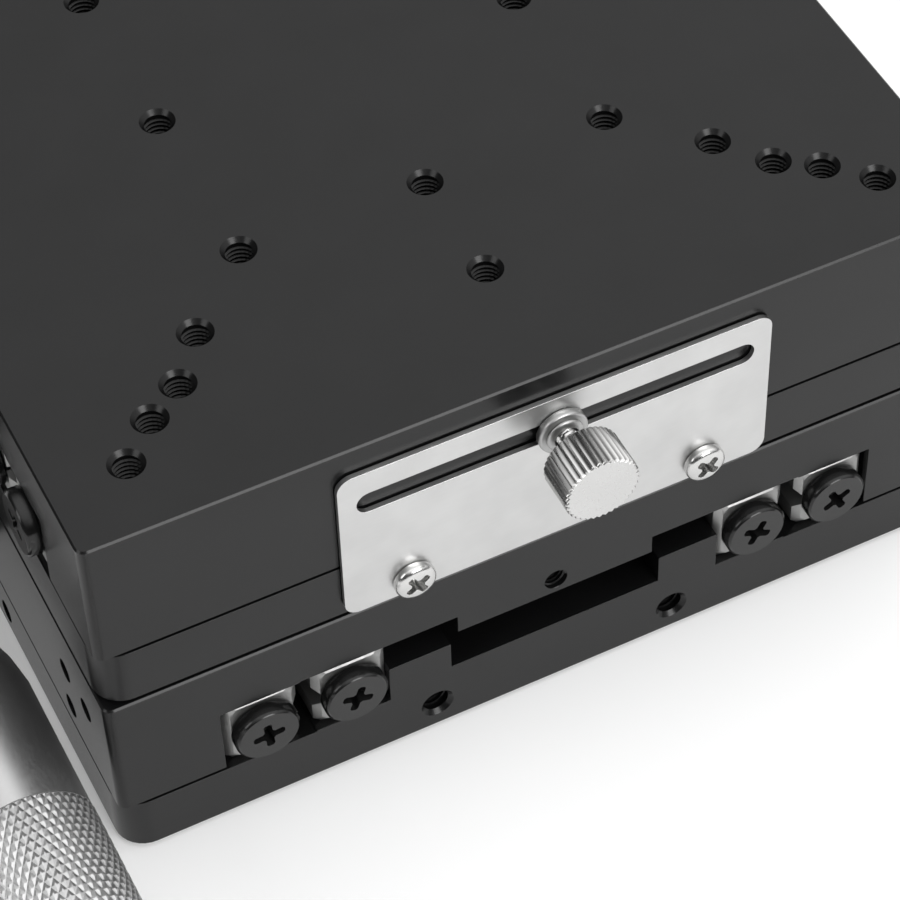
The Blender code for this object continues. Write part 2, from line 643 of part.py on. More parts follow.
def thimble(stage, finishes, axis):
    """Hollow sleeve that runs over the barrel: bevelled rear edge, smooth length, groove and knurled grip."""
    steep = THIMBLE_REAR - THIMBLE_BEVEL_STEEP
    full = THIMBLE_REAR - THIMBLE_BEVEL_LENGTH
    smooth = THIMBLE_REAR - THIMBLE_SMOOTH_LENGTH
    knurl = smooth - THIMBLE_GROOVE
    knurl_end = knurl - THIMBLE_KNURL_LENGTH
    edge = THIMBLE_BORE + THIMBLE_LIP
    grip = THIMBLE_RADIUS + THIMBLE_KNURL_RISE
    profile = [
        (THIMBLE_INNER_END, THIMBLE_BORE),
        (THIMBLE_REAR, THIMBLE_BORE),
        (THIMBLE_REAR, edge),
        (steep, edge + BEVEL_RISE_SHARE * (THIMBLE_RADIUS - edge)),
        (full, THIMBLE_RADIUS),
        (smooth, THIMBLE_RADIUS),
        (smooth, THIMBLE_RADIUS - THIMBLE_LIP),
        (knurl, THIMBLE_RADIUS - THIMBLE_LIP),
        (knurl, grip),
        (knurl_end, grip),
        (knurl_end - THIMBLE_GROOVE, THIMBLE_RADIUS),
        (THIMBLE_FRONT + CAP_EDGE, THIMBLE_RADIUS),
        (THIMBLE_FRONT, THIMBLE_RADIUS - CAP_EDGE),
    ]
    turned = lathe(profile, ROUND_STEPS, "Y")
    return object_from(turned, f"{stage.name}_thimble", finishes["chrome"], axis)


def bracket(stage, finishes):
    """Clamp block on the base's side, round outside and slit, so that it grips the micrometer's stem."""
    inner = -(HALF + SEAT)
    relieved = -(HALF + BRACKET_RELIEF)
    radius = STEM_RADIUS + BRACKET_WALL
    step_z = FLANGE - BRACKET_RELIEF_DROP
    outline = [
        (inner, BRACKET_FOOT),
        (inner, step_z),
        (relieved, step_z),
        (relieved, MIC_HEIGHT + radius),
    ]
    for step in range(ARC_STEPS + 1):
        turn = BRACKET_ARC_START + BRACKET_ARC * step / ARC_STEPS
        outline.append((MIC_X + radius * cos(turn), MIC_HEIGHT + radius * sin(turn)))
    outline.append((-(HALF + BRACKET_FOOT_OUT), BRACKET_FOOT))
    rear = BRACKET_LENGTH - BRACKET_FRONT
    blank = prism(outline, -BRACKET_FRONT, rear)
    block = object_from(blank, f"{stage.name}_bracket", finishes["black"], stage)
    bore = lathe(
        [(-BRACKET_FRONT - OVERRUN, STEM_RADIUS + SEAT), (rear + OVERRUN, STEM_RADIUS + SEAT)],
        ROUND_STEPS,
        "Y",
        (MIC_X, 0, MIC_HEIGHT),
    )
    apply_tool(block, bore, "DIFFERENCE", "bore")
    slit_z = BRACKET_SLIT / 2
    slit_end = MIC_X - radius - OVERRUN
    slit = [(MIC_X, MIC_HEIGHT - slit_z), (MIC_X, MIC_HEIGHT + slit_z)]
    slit += [(slit_end, MIC_HEIGHT + slit_z), (slit_end, MIC_HEIGHT - slit_z)]
    apply_tool(block, prism(slit, -BRACKET_FRONT - OVERRUN, rear + OVERRUN), "DIFFERENCE", "slit")
    return block


def anvil_block(stage, finishes):
    """Block on the table's side with the button that the spindle pushes."""
    low = min(height for place, height in ANVIL_TAPS) - 2 * ANVIL_CHAMFER
    high = max(height for place, height in ANVIL_TAPS) + ANVIL_MARGIN + ANVIL_CHAMFER
    end = max(place for place, height in ANVIL_TAPS) + ANVIL_MARGIN + ANVIL_CHAMFER
    inner = -(HALF + SEAT)
    outer = -(HALF + ANVIL_BLOCK_OUT)
    cut = ANVIL_CHAMFER
    outline = [
        (inner, low),
        (inner, high),
        (outer + cut, high),
        (outer, high - cut),
        (outer, low + cut),
        (outer + cut, low),
    ]
    blank = prism(outline, ANVIL_START, end)
    block = object_from(blank, f"{stage.name}_anvil_block", finishes["black"], stage)
    button = [(ANVIL_FACE, ANVIL_BUTTON_RADIUS), (ANVIL_START + ANVIL_CHAMFER, ANVIL_BUTTON_RADIUS)]
    apply_tool(block, lathe(button, SMALL_STEPS, "Y", (MIC_X, 0, MIC_HEIGHT)), "UNION", "button")
    return block


def spring_height():
    """The spring's axis lies midway between the base's recess and the table's pad."""
    return (FLANGE + RECESS_RISE + CEILING - PAD_DROP) / 2


def return_spring(stage, finishes):
    """The spring's outer shape, from the post on the base to the post on the table."""
    start = -SPRING_FIXED_PLACE + SPRING_POST_RADIUS + SPRING_POST_SIDE_GAP
    end = SPRING_MOVING_PLACE - SPRING_POST_RADIUS - SPRING_POST_SIDE_GAP
    profile = [(start, SPRING_RADIUS), (end, SPRING_RADIUS)]
    turned = lathe(profile, SMALL_STEPS, "Y", (0, 0, spring_height()))
    return object_from(turned, f"{stage.name}_return_spring", finishes["bright_steel"], stage)


def build_stage(name, height, turn, finishes, full_grid):
    stage = bpy.data.objects.new(name, None)
    bpy.context.scene.collection.objects.link(stage)
    stage.location = (0, 0, height)
    stage.rotation_euler = (0, 0, turn)
    base_plate(stage, finishes)
    table_plate(stage, finishes, full_grid)
    rails_and_rollers(stage, finishes)
    bracket(stage, finishes)
    micrometer(stage, finishes)
    anvil_block(stage, finishes)
    lock_plate(stage, finishes)
    lock_screw(stage, finishes)
    return_spring(stage, finishes)


def main():
    clear_scene()
    finishes = {
        "black": material("black_anodised", (0.045, 0.045, 0.047), 0.45, 0.2),
        "rail": material("rail_steel", (0.55, 0.54, 0.52), 0.3, 1.0),
        "dark_steel": material("blackened_steel", (0.06, 0.06, 0.06), 0.4, 0.6),
        "bright_steel": material("bright_steel", (0.72, 0.71, 0.69), 0.22, 1.0),
        "sheet": material("stainless_sheet", (0.68, 0.68, 0.66), 0.35, 1.0),
        "chrome": material("satin_chrome", (0.66, 0.66, 0.66), 0.3, 1.0),
        "brass": material("cage_brass", (0.6, 0.45, 0.2), 0.35, 1.0),
    }
    build_stage("lower", 0, 0, finishes, full_grid=False)
    build_stage("upper", STAGE_HEIGHT + SEAT, -pi / 2, finishes, full_grid=True)


main()
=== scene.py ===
# %% [markdown]
# A two-axis positioning stage: two square black stages, one on top of the other, each on crossed-roller
# rails. Turning a micrometer pushes a table along its rails, and a small fluted screw clamps it to a
# slotted steel sheet. The CAD frame gives the sizes and the joints. This lesson dresses it: finer edges,
# threads, recesses, knurls, scales and the finish of each metal.

# %% Load the frame
from math import cos, pi, radians, sin, sqrt

import bmesh
import bpy
from mathutils import Matrix, Quaternion, Vector


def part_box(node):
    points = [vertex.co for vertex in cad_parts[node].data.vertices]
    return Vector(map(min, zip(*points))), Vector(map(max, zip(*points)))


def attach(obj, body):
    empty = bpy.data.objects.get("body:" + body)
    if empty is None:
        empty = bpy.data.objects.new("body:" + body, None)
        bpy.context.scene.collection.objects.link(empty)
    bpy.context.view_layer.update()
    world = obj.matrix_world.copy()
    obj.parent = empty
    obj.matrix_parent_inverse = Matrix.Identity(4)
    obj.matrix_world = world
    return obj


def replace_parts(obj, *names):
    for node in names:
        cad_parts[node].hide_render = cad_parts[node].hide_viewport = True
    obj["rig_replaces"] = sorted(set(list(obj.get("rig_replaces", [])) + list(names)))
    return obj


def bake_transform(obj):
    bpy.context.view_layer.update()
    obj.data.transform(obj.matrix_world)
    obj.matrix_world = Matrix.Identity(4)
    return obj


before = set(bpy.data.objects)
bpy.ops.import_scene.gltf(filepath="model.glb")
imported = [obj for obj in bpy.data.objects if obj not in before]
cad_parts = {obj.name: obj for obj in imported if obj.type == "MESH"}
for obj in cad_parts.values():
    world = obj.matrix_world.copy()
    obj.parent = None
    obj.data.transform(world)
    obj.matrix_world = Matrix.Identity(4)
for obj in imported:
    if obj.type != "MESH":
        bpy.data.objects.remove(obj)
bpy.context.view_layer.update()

# %% [markdown]
# Both stages are the same design, so each piece is drawn once in millimetres, in the stage's own frame:
# X across the travel, Y along it, Z up from its underside. A matrix then scales the mesh to metres and
# puts it in the lower stage, or in the upper one, which is turned a quarter turn. The objects themselves
# stay at the origin, so that patterns on Object coordinates sit still.

# %% Where each stage stands
MM = 0.001
STAGE_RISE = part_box("upper_base")[0].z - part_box("lower_base")[0].z
STAGE_PLACE = {
    "lower": Matrix.Scale(MM, 4),
    "upper": Matrix.Translation((0, 0, STAGE_RISE)) @ Matrix.Rotation(-pi / 2, 4, "Z") @ Matrix.Scale(MM, 4),
}
FIXED_BODY = {"lower": "base", "upper": "middle"}
MOVING_BODY = {"lower": "middle", "upper": "top"}
TRAVEL = {"lower": "y", "upper": "x"}


def on_stage(stage, place, way):
    """A place and a direction of the stage's own frame, as they stand in the object's frame."""
    stands = STAGE_PLACE[stage]
    return stands @ Vector(place), (stands.to_3x3() @ Vector(way)).normalized()


print("the upper stage stands", round(STAGE_RISE / MM, 2), "mm up")

# %% [markdown]
# Nearly every piece here is turned or milled, so a few helpers carry the modelling. `loft` skins a row of
# outlines, `turned` spins a profile as a lathe does, and `extruded` draws an outline out as a mill's path.
# Blender's Screw modifier or a scaled cube would do as well, but a list of numbers for each profile is
# easier to set against a drawing.

# %% Lofting, turning and extruding
def loft(rings, closed_loop=False):
    """A skin over rings of points, with flat ends unless the rings close into a loop."""
    bm = bmesh.new()
    rows = [[bm.verts.new(point) for point in ring] for ring in rings]
    pairs = list(zip(rows, rows[1:]))
    if closed_loop:
        pairs.append((rows[-1], rows[0]))
    for low, high in pairs:
        for i in range(len(low)):
            j = (i + 1) % len(low)
            bm.faces.new((low[i], low[j], high[j], high[i]))
    if not closed_loop:
        bm.faces.new(rows[0][::-1])
        bm.faces.new(rows[-1])
    return bm


AXES = {"X": (Vector((1, 0, 0)), Vector((0, 1, 0))), "Y": (Vector((0, 1, 0)), Vector((0, 0, 1)))}
AXES["Z"] = (Vector((0, 0, 1)), Vector((1, 0, 0)))


def turned(profile, steps, axis, centre=(0, 0, 0), closed_loop=False, ripple=None):
    """A profile of (place, radius) spun about an axis. ripple(place, radius, turn) adds to the radius."""
    along, side = AXES[axis]
    up = along.cross(side)
    rings = []
    for place, radius in profile:
        ring = []
        for step in range(steps):
            turn = 2 * pi * step / steps
            reach = radius + (ripple(place, radius, turn) if ripple else 0)
            ring.append(Vector(centre) + along * place + (side * cos(turn) + up * sin(turn)) * reach)
        rings.append(ring)
    return loft(rings, closed_loop)


def extruded(outline, start, end, axis="Y"):
    """A flat outline drawn out along an axis. The outline lies in the other two axes, in XYZ order."""
    if axis == "Y":
        return loft([[(x, y, z) for x, z in outline] for y in (start, end)])
    if axis == "X":
        return loft([[(x, y, z) for y, z in outline] for x in (start, end)])
    return loft([[(x, y, z) for x, y in outline] for z in (start, end)])


print("axes a profile can be turned on:", sorted(AXES))

# %% [markdown]
# A shape then goes on the bench as an object. `bake` applies its modifiers at once. A live stack of them
# could still be changed later, but a plain mesh after each step can be looked at, and it is what the frame
# needs in the end.

# %% Workpieces
def joined(parts):
    """Several shapes in one, for a tool that cuts in many places at once."""
    whole = bmesh.new()
    for part in parts:
        mesh = bpy.data.meshes.new("part")
        part.to_mesh(mesh)
        part.free()
        whole.from_mesh(mesh)
        bpy.data.meshes.remove(mesh)
    return whole


def workpiece(bm, name="workpiece"):
    """A mesh object on the bench, in millimetres, with its faces outward."""
    bmesh.ops.recalc_face_normals(bm, faces=bm.faces)
    mesh = bpy.data.meshes.new(name)
    bm.to_mesh(mesh)
    bm.free()
    made = bpy.data.objects.new(name, mesh)
    bpy.context.scene.collection.objects.link(made)
    return made


def bake(obj):
    """Applies the modifiers, and leaves a plain mesh."""
    graph = bpy.context.evaluated_depsgraph_get()
    before = obj.data
    obj.data = bpy.data.meshes.new_from_object(obj.evaluated_get(graph))
    obj.modifiers.clear()
    bpy.data.meshes.remove(before)
    return obj


print("the bench is ready, in millimetres")

# %% [markdown]
# `cut` is a Boolean, applied straight away. `soften` gives edges the small rounding that catches the light,
# with weighted normals so that flat faces still shade flat. Smooth shading alone would bend the light over
# the flat faces, and a wide rounding would cost faces where nobody looks.

# %% Cutting and softening
SMOOTH_ANGLE = radians(32)


def cut(body, tool, operation="DIFFERENCE"):
    """Cuts the tool out of the body, or joins it on, and removes the tool."""
    helper = workpiece(tool, "tool")
    boolean = body.modifiers.new("cut", "BOOLEAN")
    boolean.operation = operation
    boolean.solver = "EXACT"
    boolean.object = helper
    bake(body)
    bpy.data.objects.remove(helper, do_unlink=True)
    return body


def soften(body, width, steps=2, over=50, sharp=50):
    """Rounds every edge sharper than an angle, and keeps the flat faces flat to the light."""
    bevel = body.modifiers.new("edges", "BEVEL")
    bevel.width = width
    bevel.segments = steps
    bevel.limit_method = "ANGLE"
    bevel.angle_limit = radians(over)
    bevel.miter_outer = "MITER_ARC"
    bake(body)
    body.data.shade_smooth()
    body.data.set_sharp_from_angle(angle=radians(sharp))
    weighted = body.modifiers.new("shading", "WEIGHTED_NORMAL")
    weighted.keep_sharp = True
    return bake(body)


def smooth(body, angle=SMOOTH_ANGLE):
    """Smooth shading, broken at every edge sharper than an angle."""
    body.data.shade_smooth()
    body.data.set_sharp_from_angle(angle=angle)
    return body


print("smooth shading breaks at", round(SMOOTH_ANGLE * 180 / pi), "degrees")

# %% [markdown]
# `hand_over` takes a finished shape off the bench: it moves the mesh to its stage, names it, gives it its
# finish, and tells the frame which body carries it and which CAD nodes it stands for. One function for it
# all means that no piece can be left without one of them.

# %% Handing a piece to the frame
made_pieces = []


def hand_over(body, name, stage, coat, rides_on, nodes, keep=False):
    """Hands a piece to the frame. With keep, a copy goes and the shape stays on the bench."""
    made = body
    if keep:
        made = body.copy()
        made.data = body.data.copy()
        bpy.context.scene.collection.objects.link(made)
    made.name = name
    made.data.name = name
    if stage:
        made.data.transform(STAGE_PLACE[stage])
    made.data.materials.clear()
    made.data.materials.append(coat)
    made.data.update()
    if rides_on:
        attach(made, rides_on)
    if nodes:
        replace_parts(made, *nodes)
    made_pieces.append(made)
    return made


print("pieces handed over so far:", len(made_pieces))

# %% [markdown]
# Every finish is a small node tree on Object coordinates. `pattern` gives a noise whose grain can be drawn
# out along one axis, as grinding and brushing leave it. The grain is a few tenths of a millimetre, which is
# what the eye sees at this range. A painted picture could hold the same marks, but it would need its own
# map for each piece and go soft close up.

# %% Material helpers
def pattern(made, grain, stretch=(1, 1, 1), detail=3.0, roughness=0.55):
    """Noise with features about `grain` metres across, longer along an axis where stretch is above 1."""
    nodes, links = made.node_tree.nodes, made.node_tree.links
    where = nodes.new("ShaderNodeTexCoord")
    mapping = nodes.new("ShaderNodeMapping")
    mapping.inputs["Scale"].default_value = [1 / s for s in stretch]
    noise = nodes.new("ShaderNodeTexNoise")
    noise.inputs["Scale"].default_value = 1 / grain
    noise.inputs["Detail"].default_value = detail
    noise.inputs["Roughness"].default_value = roughness
    links.new(where.outputs["Object"], mapping.inputs["Vector"])
    links.new(mapping.outputs["Vector"], noise.inputs["Vector"])
    return noise.outputs["Fac"]


def ranged(made, value, low, high, start=0.3, end=0.7):
    """A noise value stretched to run from low to high."""
    node = made.node_tree.nodes.new("ShaderNodeMapRange")
    node.inputs["From Min"].default_value = start
    node.inputs["From Max"].default_value = end
    node.inputs["To Min"].default_value = low
    node.inputs["To Max"].default_value = high
    made.node_tree.links.new(value, node.inputs["Value"])
    return node.outputs["Result"]


def blended(made, factor, first, second):
    """One colour for a factor of 0, the other for 1."""
    node = made.node_tree.nodes.new("ShaderNodeMix")
    node.data_type = "RGBA"
    node.inputs["A"].default_value = (*first, 1)
    node.inputs["B"].default_value = (*second, 1)
    made.node_tree.links.new(factor, node.inputs["Factor"])
    return node.outputs["Result"]


print("helpers for materials are ready")

# %% [markdown]
# `finish` puts these together: soft clouds between two tones in the colour, fine grain in the roughness,
# and for brushed sheet the same grain in a bump of a few micrometres. The helper after it paints shade into
# the grooves of a fluted knob, as a darker colour from an attribute that its mesh carries.

# %% A finish, and painted shade in grooves
def finish(name, dark, light, metallic, rough, grain, stretch=(1, 1, 1), bump=0.0, cloud=0.012, ior=1.5):
    """A metal or coating: colour between two tones in soft clouds, fine grain in roughness and bump."""
    made = bpy.data.materials.new(name)
    made.use_nodes = True
    nodes, links = made.node_tree.nodes, made.node_tree.links
    shader = nodes["Principled BSDF"]
    shader.inputs["Metallic"].default_value = metallic
    shader.inputs["IOR"].default_value = ior
    fine = pattern(made, grain, stretch)
    soft = pattern(made, cloud, stretch=(1, 1, 1), detail=2.0)
    tone = blended(made, ranged(made, soft, 0, 1), dark, light)
    links.new(tone, shader.inputs["Base Color"])
    links.new(ranged(made, fine, rough[0], rough[1]), shader.inputs["Roughness"])
    if bump:
        relief = nodes.new("ShaderNodeBump")
        relief.inputs["Strength"].default_value = 1.0
        relief.inputs["Distance"].default_value = bump
        links.new(fine, relief.inputs["Height"])
        links.new(relief.outputs["Normal"], shader.inputs["Normal"])
    return made


def duller_in_grooves(made, colour):
    """Paints shade into grooves: mixes a darker colour in where the mesh's own attribute called groove is
    near 1.
    """
    nodes, links = made.node_tree.nodes, made.node_tree.links
    shader = nodes["Principled BSDF"]
    groove = nodes.new("ShaderNodeAttribute")
    groove.attribute_name = "groove"
    tone = shader.inputs["Base Color"].links[0].from_socket
    mixed = blended(made, ranged(made, groove.outputs["Fac"], 0, 1, 0.2, 0.7), colour, colour)
    links.new(tone, mixed.node.inputs["A"])
    links.new(mixed, shader.inputs["Base Color"])


print("clouds and grain go into each finish")

# %% [markdown]
# Then each finish gets its tones, its roughness and its grain. The anodised coat is a dark layer that
# mirrors only a few hundredths of the light, so it is a near-black non-metal with a low index of
# refraction. The others are bare or plated metal, from ground steel to bright nickel. Steel that is ground
# or brushed along the travel has its grain drawn out that way.

# %% Finishes
NO_METAL, METAL = 0.0, 1.0


def along_travel(stage, stretch):
    """Stretches a pattern along the way that the stage travels, as its long parts are ground."""
    return (1, stretch, 1) if stage == "lower" else (stretch, 1, 1)


tones = ((0.0038, 0.0038, 0.0039), (0.0055, 0.0055, 0.0057))
anodised = finish("black_anodised_satin", *tones, NO_METAL, (0.24, 0.27), 0.0008, ior=1.37)
blackened = finish(
    "blackened_steel", (0.006, 0.006, 0.006), (0.011, 0.011, 0.011), NO_METAL, (0.16, 0.2), 0.0008, ior=1.45
)
ground, sheet_steel = {}, {}
for stage in STAGE_PLACE:
    tones, marks = ((0.32, 0.32, 0.316), (0.38, 0.38, 0.375)), along_travel(stage, 12)
    ground[stage] = finish(f"ground_steel_{stage}", *tones, METAL, (0.42, 0.5), 0.0006, marks)
for stage in STAGE_PLACE:
    tones, marks = ((0.58, 0.58, 0.577), (0.63, 0.63, 0.626)), along_travel(stage, 9)
    sheet_steel[stage] = finish(
        f"stainless_sheet_{stage}", *tones, METAL, (0.3, 0.42), 0.0003, marks, bump=0.000003, cloud=0.006
    )
nickel = finish("bright_nickel", (0.6, 0.598, 0.592), (0.66, 0.658, 0.65), METAL, (0.16, 0.24), 0.0004)
tones = ((0.58, 0.578, 0.573), (0.64, 0.638, 0.632))
knob_plate = finish("satin_nickel_knob", *tones, METAL, (0.24, 0.28), 0.0004)
# Painted shade: a darker colour in the knob's grooves.
duller_in_grooves(knob_plate, (0.27, 0.269, 0.266))
pale_ring = finish("satin_zinc_washer", (0.4, 0.4, 0.397), (0.46, 0.46, 0.456), METAL, (0.34, 0.42), 0.0004)
tones = ((0.67, 0.67, 0.67), (0.74, 0.74, 0.74))
satin_chrome = finish("satin_chrome_plate", *tones, METAL, (0.38, 0.45), 0.0004)
brass = finish("cage_brass_strip", (0.55, 0.4, 0.16), (0.66, 0.5, 0.22), METAL, (0.25, 0.4), 0.0003)
tones = ((0.66, 0.66, 0.66), (0.74, 0.74, 0.74))
roller_steel = finish("polished_roller_steel", *tones, METAL, (0.1, 0.2), 0.0003)
spring_steel = finish("spring_wire_steel", (0.4, 0.4, 0.39), (0.52, 0.52, 0.51), METAL, (0.25, 0.4), 0.0002)
ink = finish("engraving_ink", (0.01, 0.01, 0.01), (0.02, 0.02, 0.02), NO_METAL, (0.5, 0.7), 0.0003)
print("finishes:", [m.name for m in bpy.data.materials])

# %% [markdown]
# The camera stands where the photograph was taken, in front and to the left, looking down at about 48
# degrees. Its place and turn were worked out from the grid of tapped holes, whose sizes are round
# numbers, and the shift frames the same corner of the stage.

# %% Camera
LENS, SENSOR = 134.23, 36.0
camera_data = bpy.data.cameras.new("photo_camera")
camera_data.lens = LENS
camera_data.sensor_width = SENSOR
camera_data.shift_x = -0.2048
camera_data.shift_y = -0.09735
camera_data.clip_start = 0.01
camera = bpy.data.objects.new("photo_camera", camera_data)
bpy.context.scene.collection.objects.link(camera)
camera.rotation_mode = "QUATERNION"
camera.rotation_quaternion = Quaternion((0.90652, 0.34362, -0.095485, -0.225894))
camera.location = (-0.120632, -0.291492, 0.353751)
bpy.context.scene.camera = camera
bpy.context.scene.view_settings.view_transform = "Standard"
print("the camera stands", round(camera.location.length, 3), "m from the middle of the underside")

# %% [markdown]
# A studio shot on white paper. The floor is wide and pale and keeps the soft shadow. A photographer would
# lift its tone by a lamp behind it; here the camera and the mirrors see a little plain white mixed in, by
# the Light Path node, which adds no light to the object.

# %% The floor
def seen_paler(made, share):
    """Mixes white into what the camera and a mirror see of a surface, and adds no light to the object."""
    nodes, links = made.node_tree.nodes, made.node_tree.links
    path = nodes.new("ShaderNodeLightPath")
    seen = path.outputs["Is Camera Ray"]
    for label in ("Is Glossy Ray", "Is Transmission Ray"):
        either = nodes.new("ShaderNodeMath")
        either.operation = "MAXIMUM"
        links.new(seen, either.inputs[0])
        links.new(path.outputs[label], either.inputs[1])
        seen = either.outputs[0]
    scaled = nodes.new("ShaderNodeMath")
    scaled.operation = "MULTIPLY"
    scaled.inputs[1].default_value = share
    white = nodes.new("ShaderNodeEmission")
    mixed = nodes.new("ShaderNodeMixShader")
    links.new(seen, scaled.inputs[0])
    links.new(scaled.outputs[0], mixed.inputs["Fac"])
    links.new(nodes["Principled BSDF"].outputs[0], mixed.inputs[1])
    links.new(white.outputs[0], mixed.inputs[2])
    links.new(mixed.outputs[0], nodes["Material Output"].inputs["Surface"])


FLOOR_HALF, FLOOR_DROP, FLOOR_WHITE = 5.0, 0.0002, 0.22
floor_mesh = bpy.data.meshes.new("studio_floor")
corners = [(sx * FLOOR_HALF, sy * FLOOR_HALF, 0) for sx, sy in ((-1, -1), (1, -1), (1, 1), (-1, 1))]
floor_mesh.from_pydata(corners, [], [(0, 1, 2, 3)])
floor = bpy.data.objects.new("studio_floor", floor_mesh)
bpy.context.scene.collection.objects.link(floor)
tones = ((0.92, 0.92, 0.92), (0.94, 0.94, 0.94))
floor_finish = finish("studio_paper", *tones, NO_METAL, (0.8, 0.9), 0.002, cloud=0.3)
seen_paler(floor_finish, FLOOR_WHITE)
floor_mesh.materials.append(floor_finish)
floor.location.z = -FLOOR_DROP
print("the floor is", 2 * FLOOR_HALF, "m wide")

# %% [markdown]
# Black satin plates show the room more than the lamps, so the room is drawn first: a wide bright ceiling,
# a little to the right, that fades to a dark horizon. It lights the top evenly and leaves the steep faces
# dark, as in the photograph. Two soft square lamps, in front and on the left, then draw the bright edges.
# An even white world would turn every black face grey.

# %% World and lamps
CEILING_WAY, HORIZON, OVERHEAD = (0.33, 0.0, 0.94), 0.08, 1.52
world = bpy.data.worlds.new("studio")
bpy.context.scene.world = world
world.use_nodes = True
sky = world.node_tree
around = sky.nodes["Background"]
direction = sky.nodes.new("ShaderNodeTexCoord")
facing_ceiling = sky.nodes.new("ShaderNodeVectorMath")
facing_ceiling.operation = "DOT_PRODUCT"
facing_ceiling.inputs[1].default_value = CEILING_WAY
level = sky.nodes.new("ShaderNodeMapRange")
level.interpolation_type = "SMOOTHSTEP"
for label, value in (("From Min", 0.28), ("From Max", 0.92), ("To Min", HORIZON), ("To Max", OVERHEAD)):
    level.inputs[label].default_value = value
around.inputs["Color"].default_value = (1, 1, 1, 1)
sky.links.new(direction.outputs["Generated"], facing_ceiling.inputs[0])
sky.links.new(facing_ceiling.outputs["Value"], level.inputs["Value"])
sky.links.new(level.outputs["Result"], around.inputs["Strength"])


def lamp(name, place, target, size, power):
    """A soft square lamp that faces a target."""
    data = bpy.data.lights.new(name, "AREA")
    data.size = size
    data.energy = power
    made = bpy.data.objects.new(name, data)
    bpy.context.scene.collection.objects.link(made)
    made.location = place
    made.rotation_mode = "QUATERNION"
    made.rotation_quaternion = (Vector(target) - Vector(place)).to_track_quat("-Z", "Y")
    return made


OBJECT_MIDDLE = (0, 0, 0.03)
lamps = [lamp("front_lamp", (0.24, -0.88, 0.6), OBJECT_MIDDLE, 0.55, 5.6)]
lamps.append(lamp("left_lamp", (-0.88, -0.12, 0.6), OBJECT_MIDDLE, 0.5, 2.0))
print("lamps:", [(made.name, made.data.energy) for made in lamps])

# %% [markdown]
# The plates are milled aluminium, black anodised. Each is a thick square slab with round corners. The
# base has a raised centre with two shoulders and a recess, and the table has a pocket over the rails with
# two skirts beside them. A slab is lofted with its edge chamfers in the rings, the pocket is cut as one
# extruded outline, and the remaining sharp edges are softened, because an anodised edge always shows a
# thin bright line. A cube with a bevel would round all its edges alike, and these differ.

# %% Plate sizes, in millimetres
SIDE = 120.0
HALF = SIDE / 2
FLANGE = 9.5
SKIRT_BOTTOM = 9.9
TABLE_TOP = 30.0
CEILING = 21.0
OUTER_CEILING = 20.8
RAIL_MIDDLE = 15.25
RAILS_AT, RAIL_STEP = 34.5, 6.0
RECESS, RECESS_RISE = 14.85, 1.9
CENTRE, CENTRE_RISE = 23.45, 6.5
RAIL_SEAT, RAIL_SEAT_RISE = 33.7, 0.2
POCKET, INNER_POCKET, PAD, PAD_DROP = 45.9, 35.3, 13.8, 3.0
BASE_CORNER, TABLE_CORNER = 4.0, 1.3
OVERRUN = 1.0
EDGE, EDGE_CUT = 0.16, 0.24


def round_square(half, radius, steps=8):
    """Points round a square with round corners."""
    points = []
    for quarter, (sx, sy) in enumerate(((1, 1), (-1, 1), (-1, -1), (1, -1))):
        for step in range(steps + 1):
            turn = pi / 2 * (quarter + step / steps)
            middle = half - radius
            points.append((sx * middle + radius * cos(turn), sy * middle + radius * sin(turn)))
    return points


def slab(corner, levels):
    """A round-cornered slab. Each level is (height, how far the outline is drawn in)."""
    return loft([[(x, y, z) for x, y in round_square(HALF - inset, corner - inset)] for z, inset in levels])


def mirrored(half_outline):
    """An outline from its right half, given as (across, height)."""
    return half_outline + [(-x, z) for x, z in reversed(half_outline)]


print("plates:", SIDE, "mm square and", TABLE_TOP, "mm high a stage")

# %% [markdown]
# The tapped holes come next. The photograph shows their countersunk rims and, inside, dark arcs where the
# light catches the thread. So each cutter has a 45 degree cone that ends on the first crest of the thread,
# a short throat, and then the thread's outer size, and a real helical ridge is added in the hole later.
# The cutter also notes where that ridge goes. Arcs painted in the shading would be quicker, and would lie
# flat as soon as the view moves.

# %% Tapped holes: places and cutters
HOLE_STEPS, THREAD_HIGH, THROAT = 40, 0.27, 0.15
thread_points = {"base": [], "middle": [], "top": []}


def tapped(stage, body, axis, mouth, out, depth, major, rim):
    """Cutter for a tapped hole, and a note of where its thread goes. out is the sign of the way out."""
    crest = major - THREAD_HIGH if rim else major
    cone = max(rim - crest, 0.05)
    first_root = cone + THROAT + major - crest
    profile = [(-depth, major), (-first_root, major), (-cone - THROAT, crest), (-cone, crest)]
    profile += [(0, crest + cone), (OVERRUN, crest + cone)]
    inward = AXES[axis][0] * -out
    place, way_in = on_stage(stage, Vector(mouth) + inward * (first_root + THROAT), inward)
    thread_points[body].append((place, way_in, major))
    return turned([(out * p, r) for p, r in profile], HOLE_STEPS, axis, mouth)


print("a hole's cutter has", HOLE_STEPS, "steps round")

# %% [markdown]
# The base plate is one outline drawn out along the travel, and then only what lies in a round-cornered slab
# is kept, so the steps come from the outline and the corners and chamfers from the slab. A box for every
# step would leave inner faces to clean up. Then come the foot bores, the taps and the spring's pin.

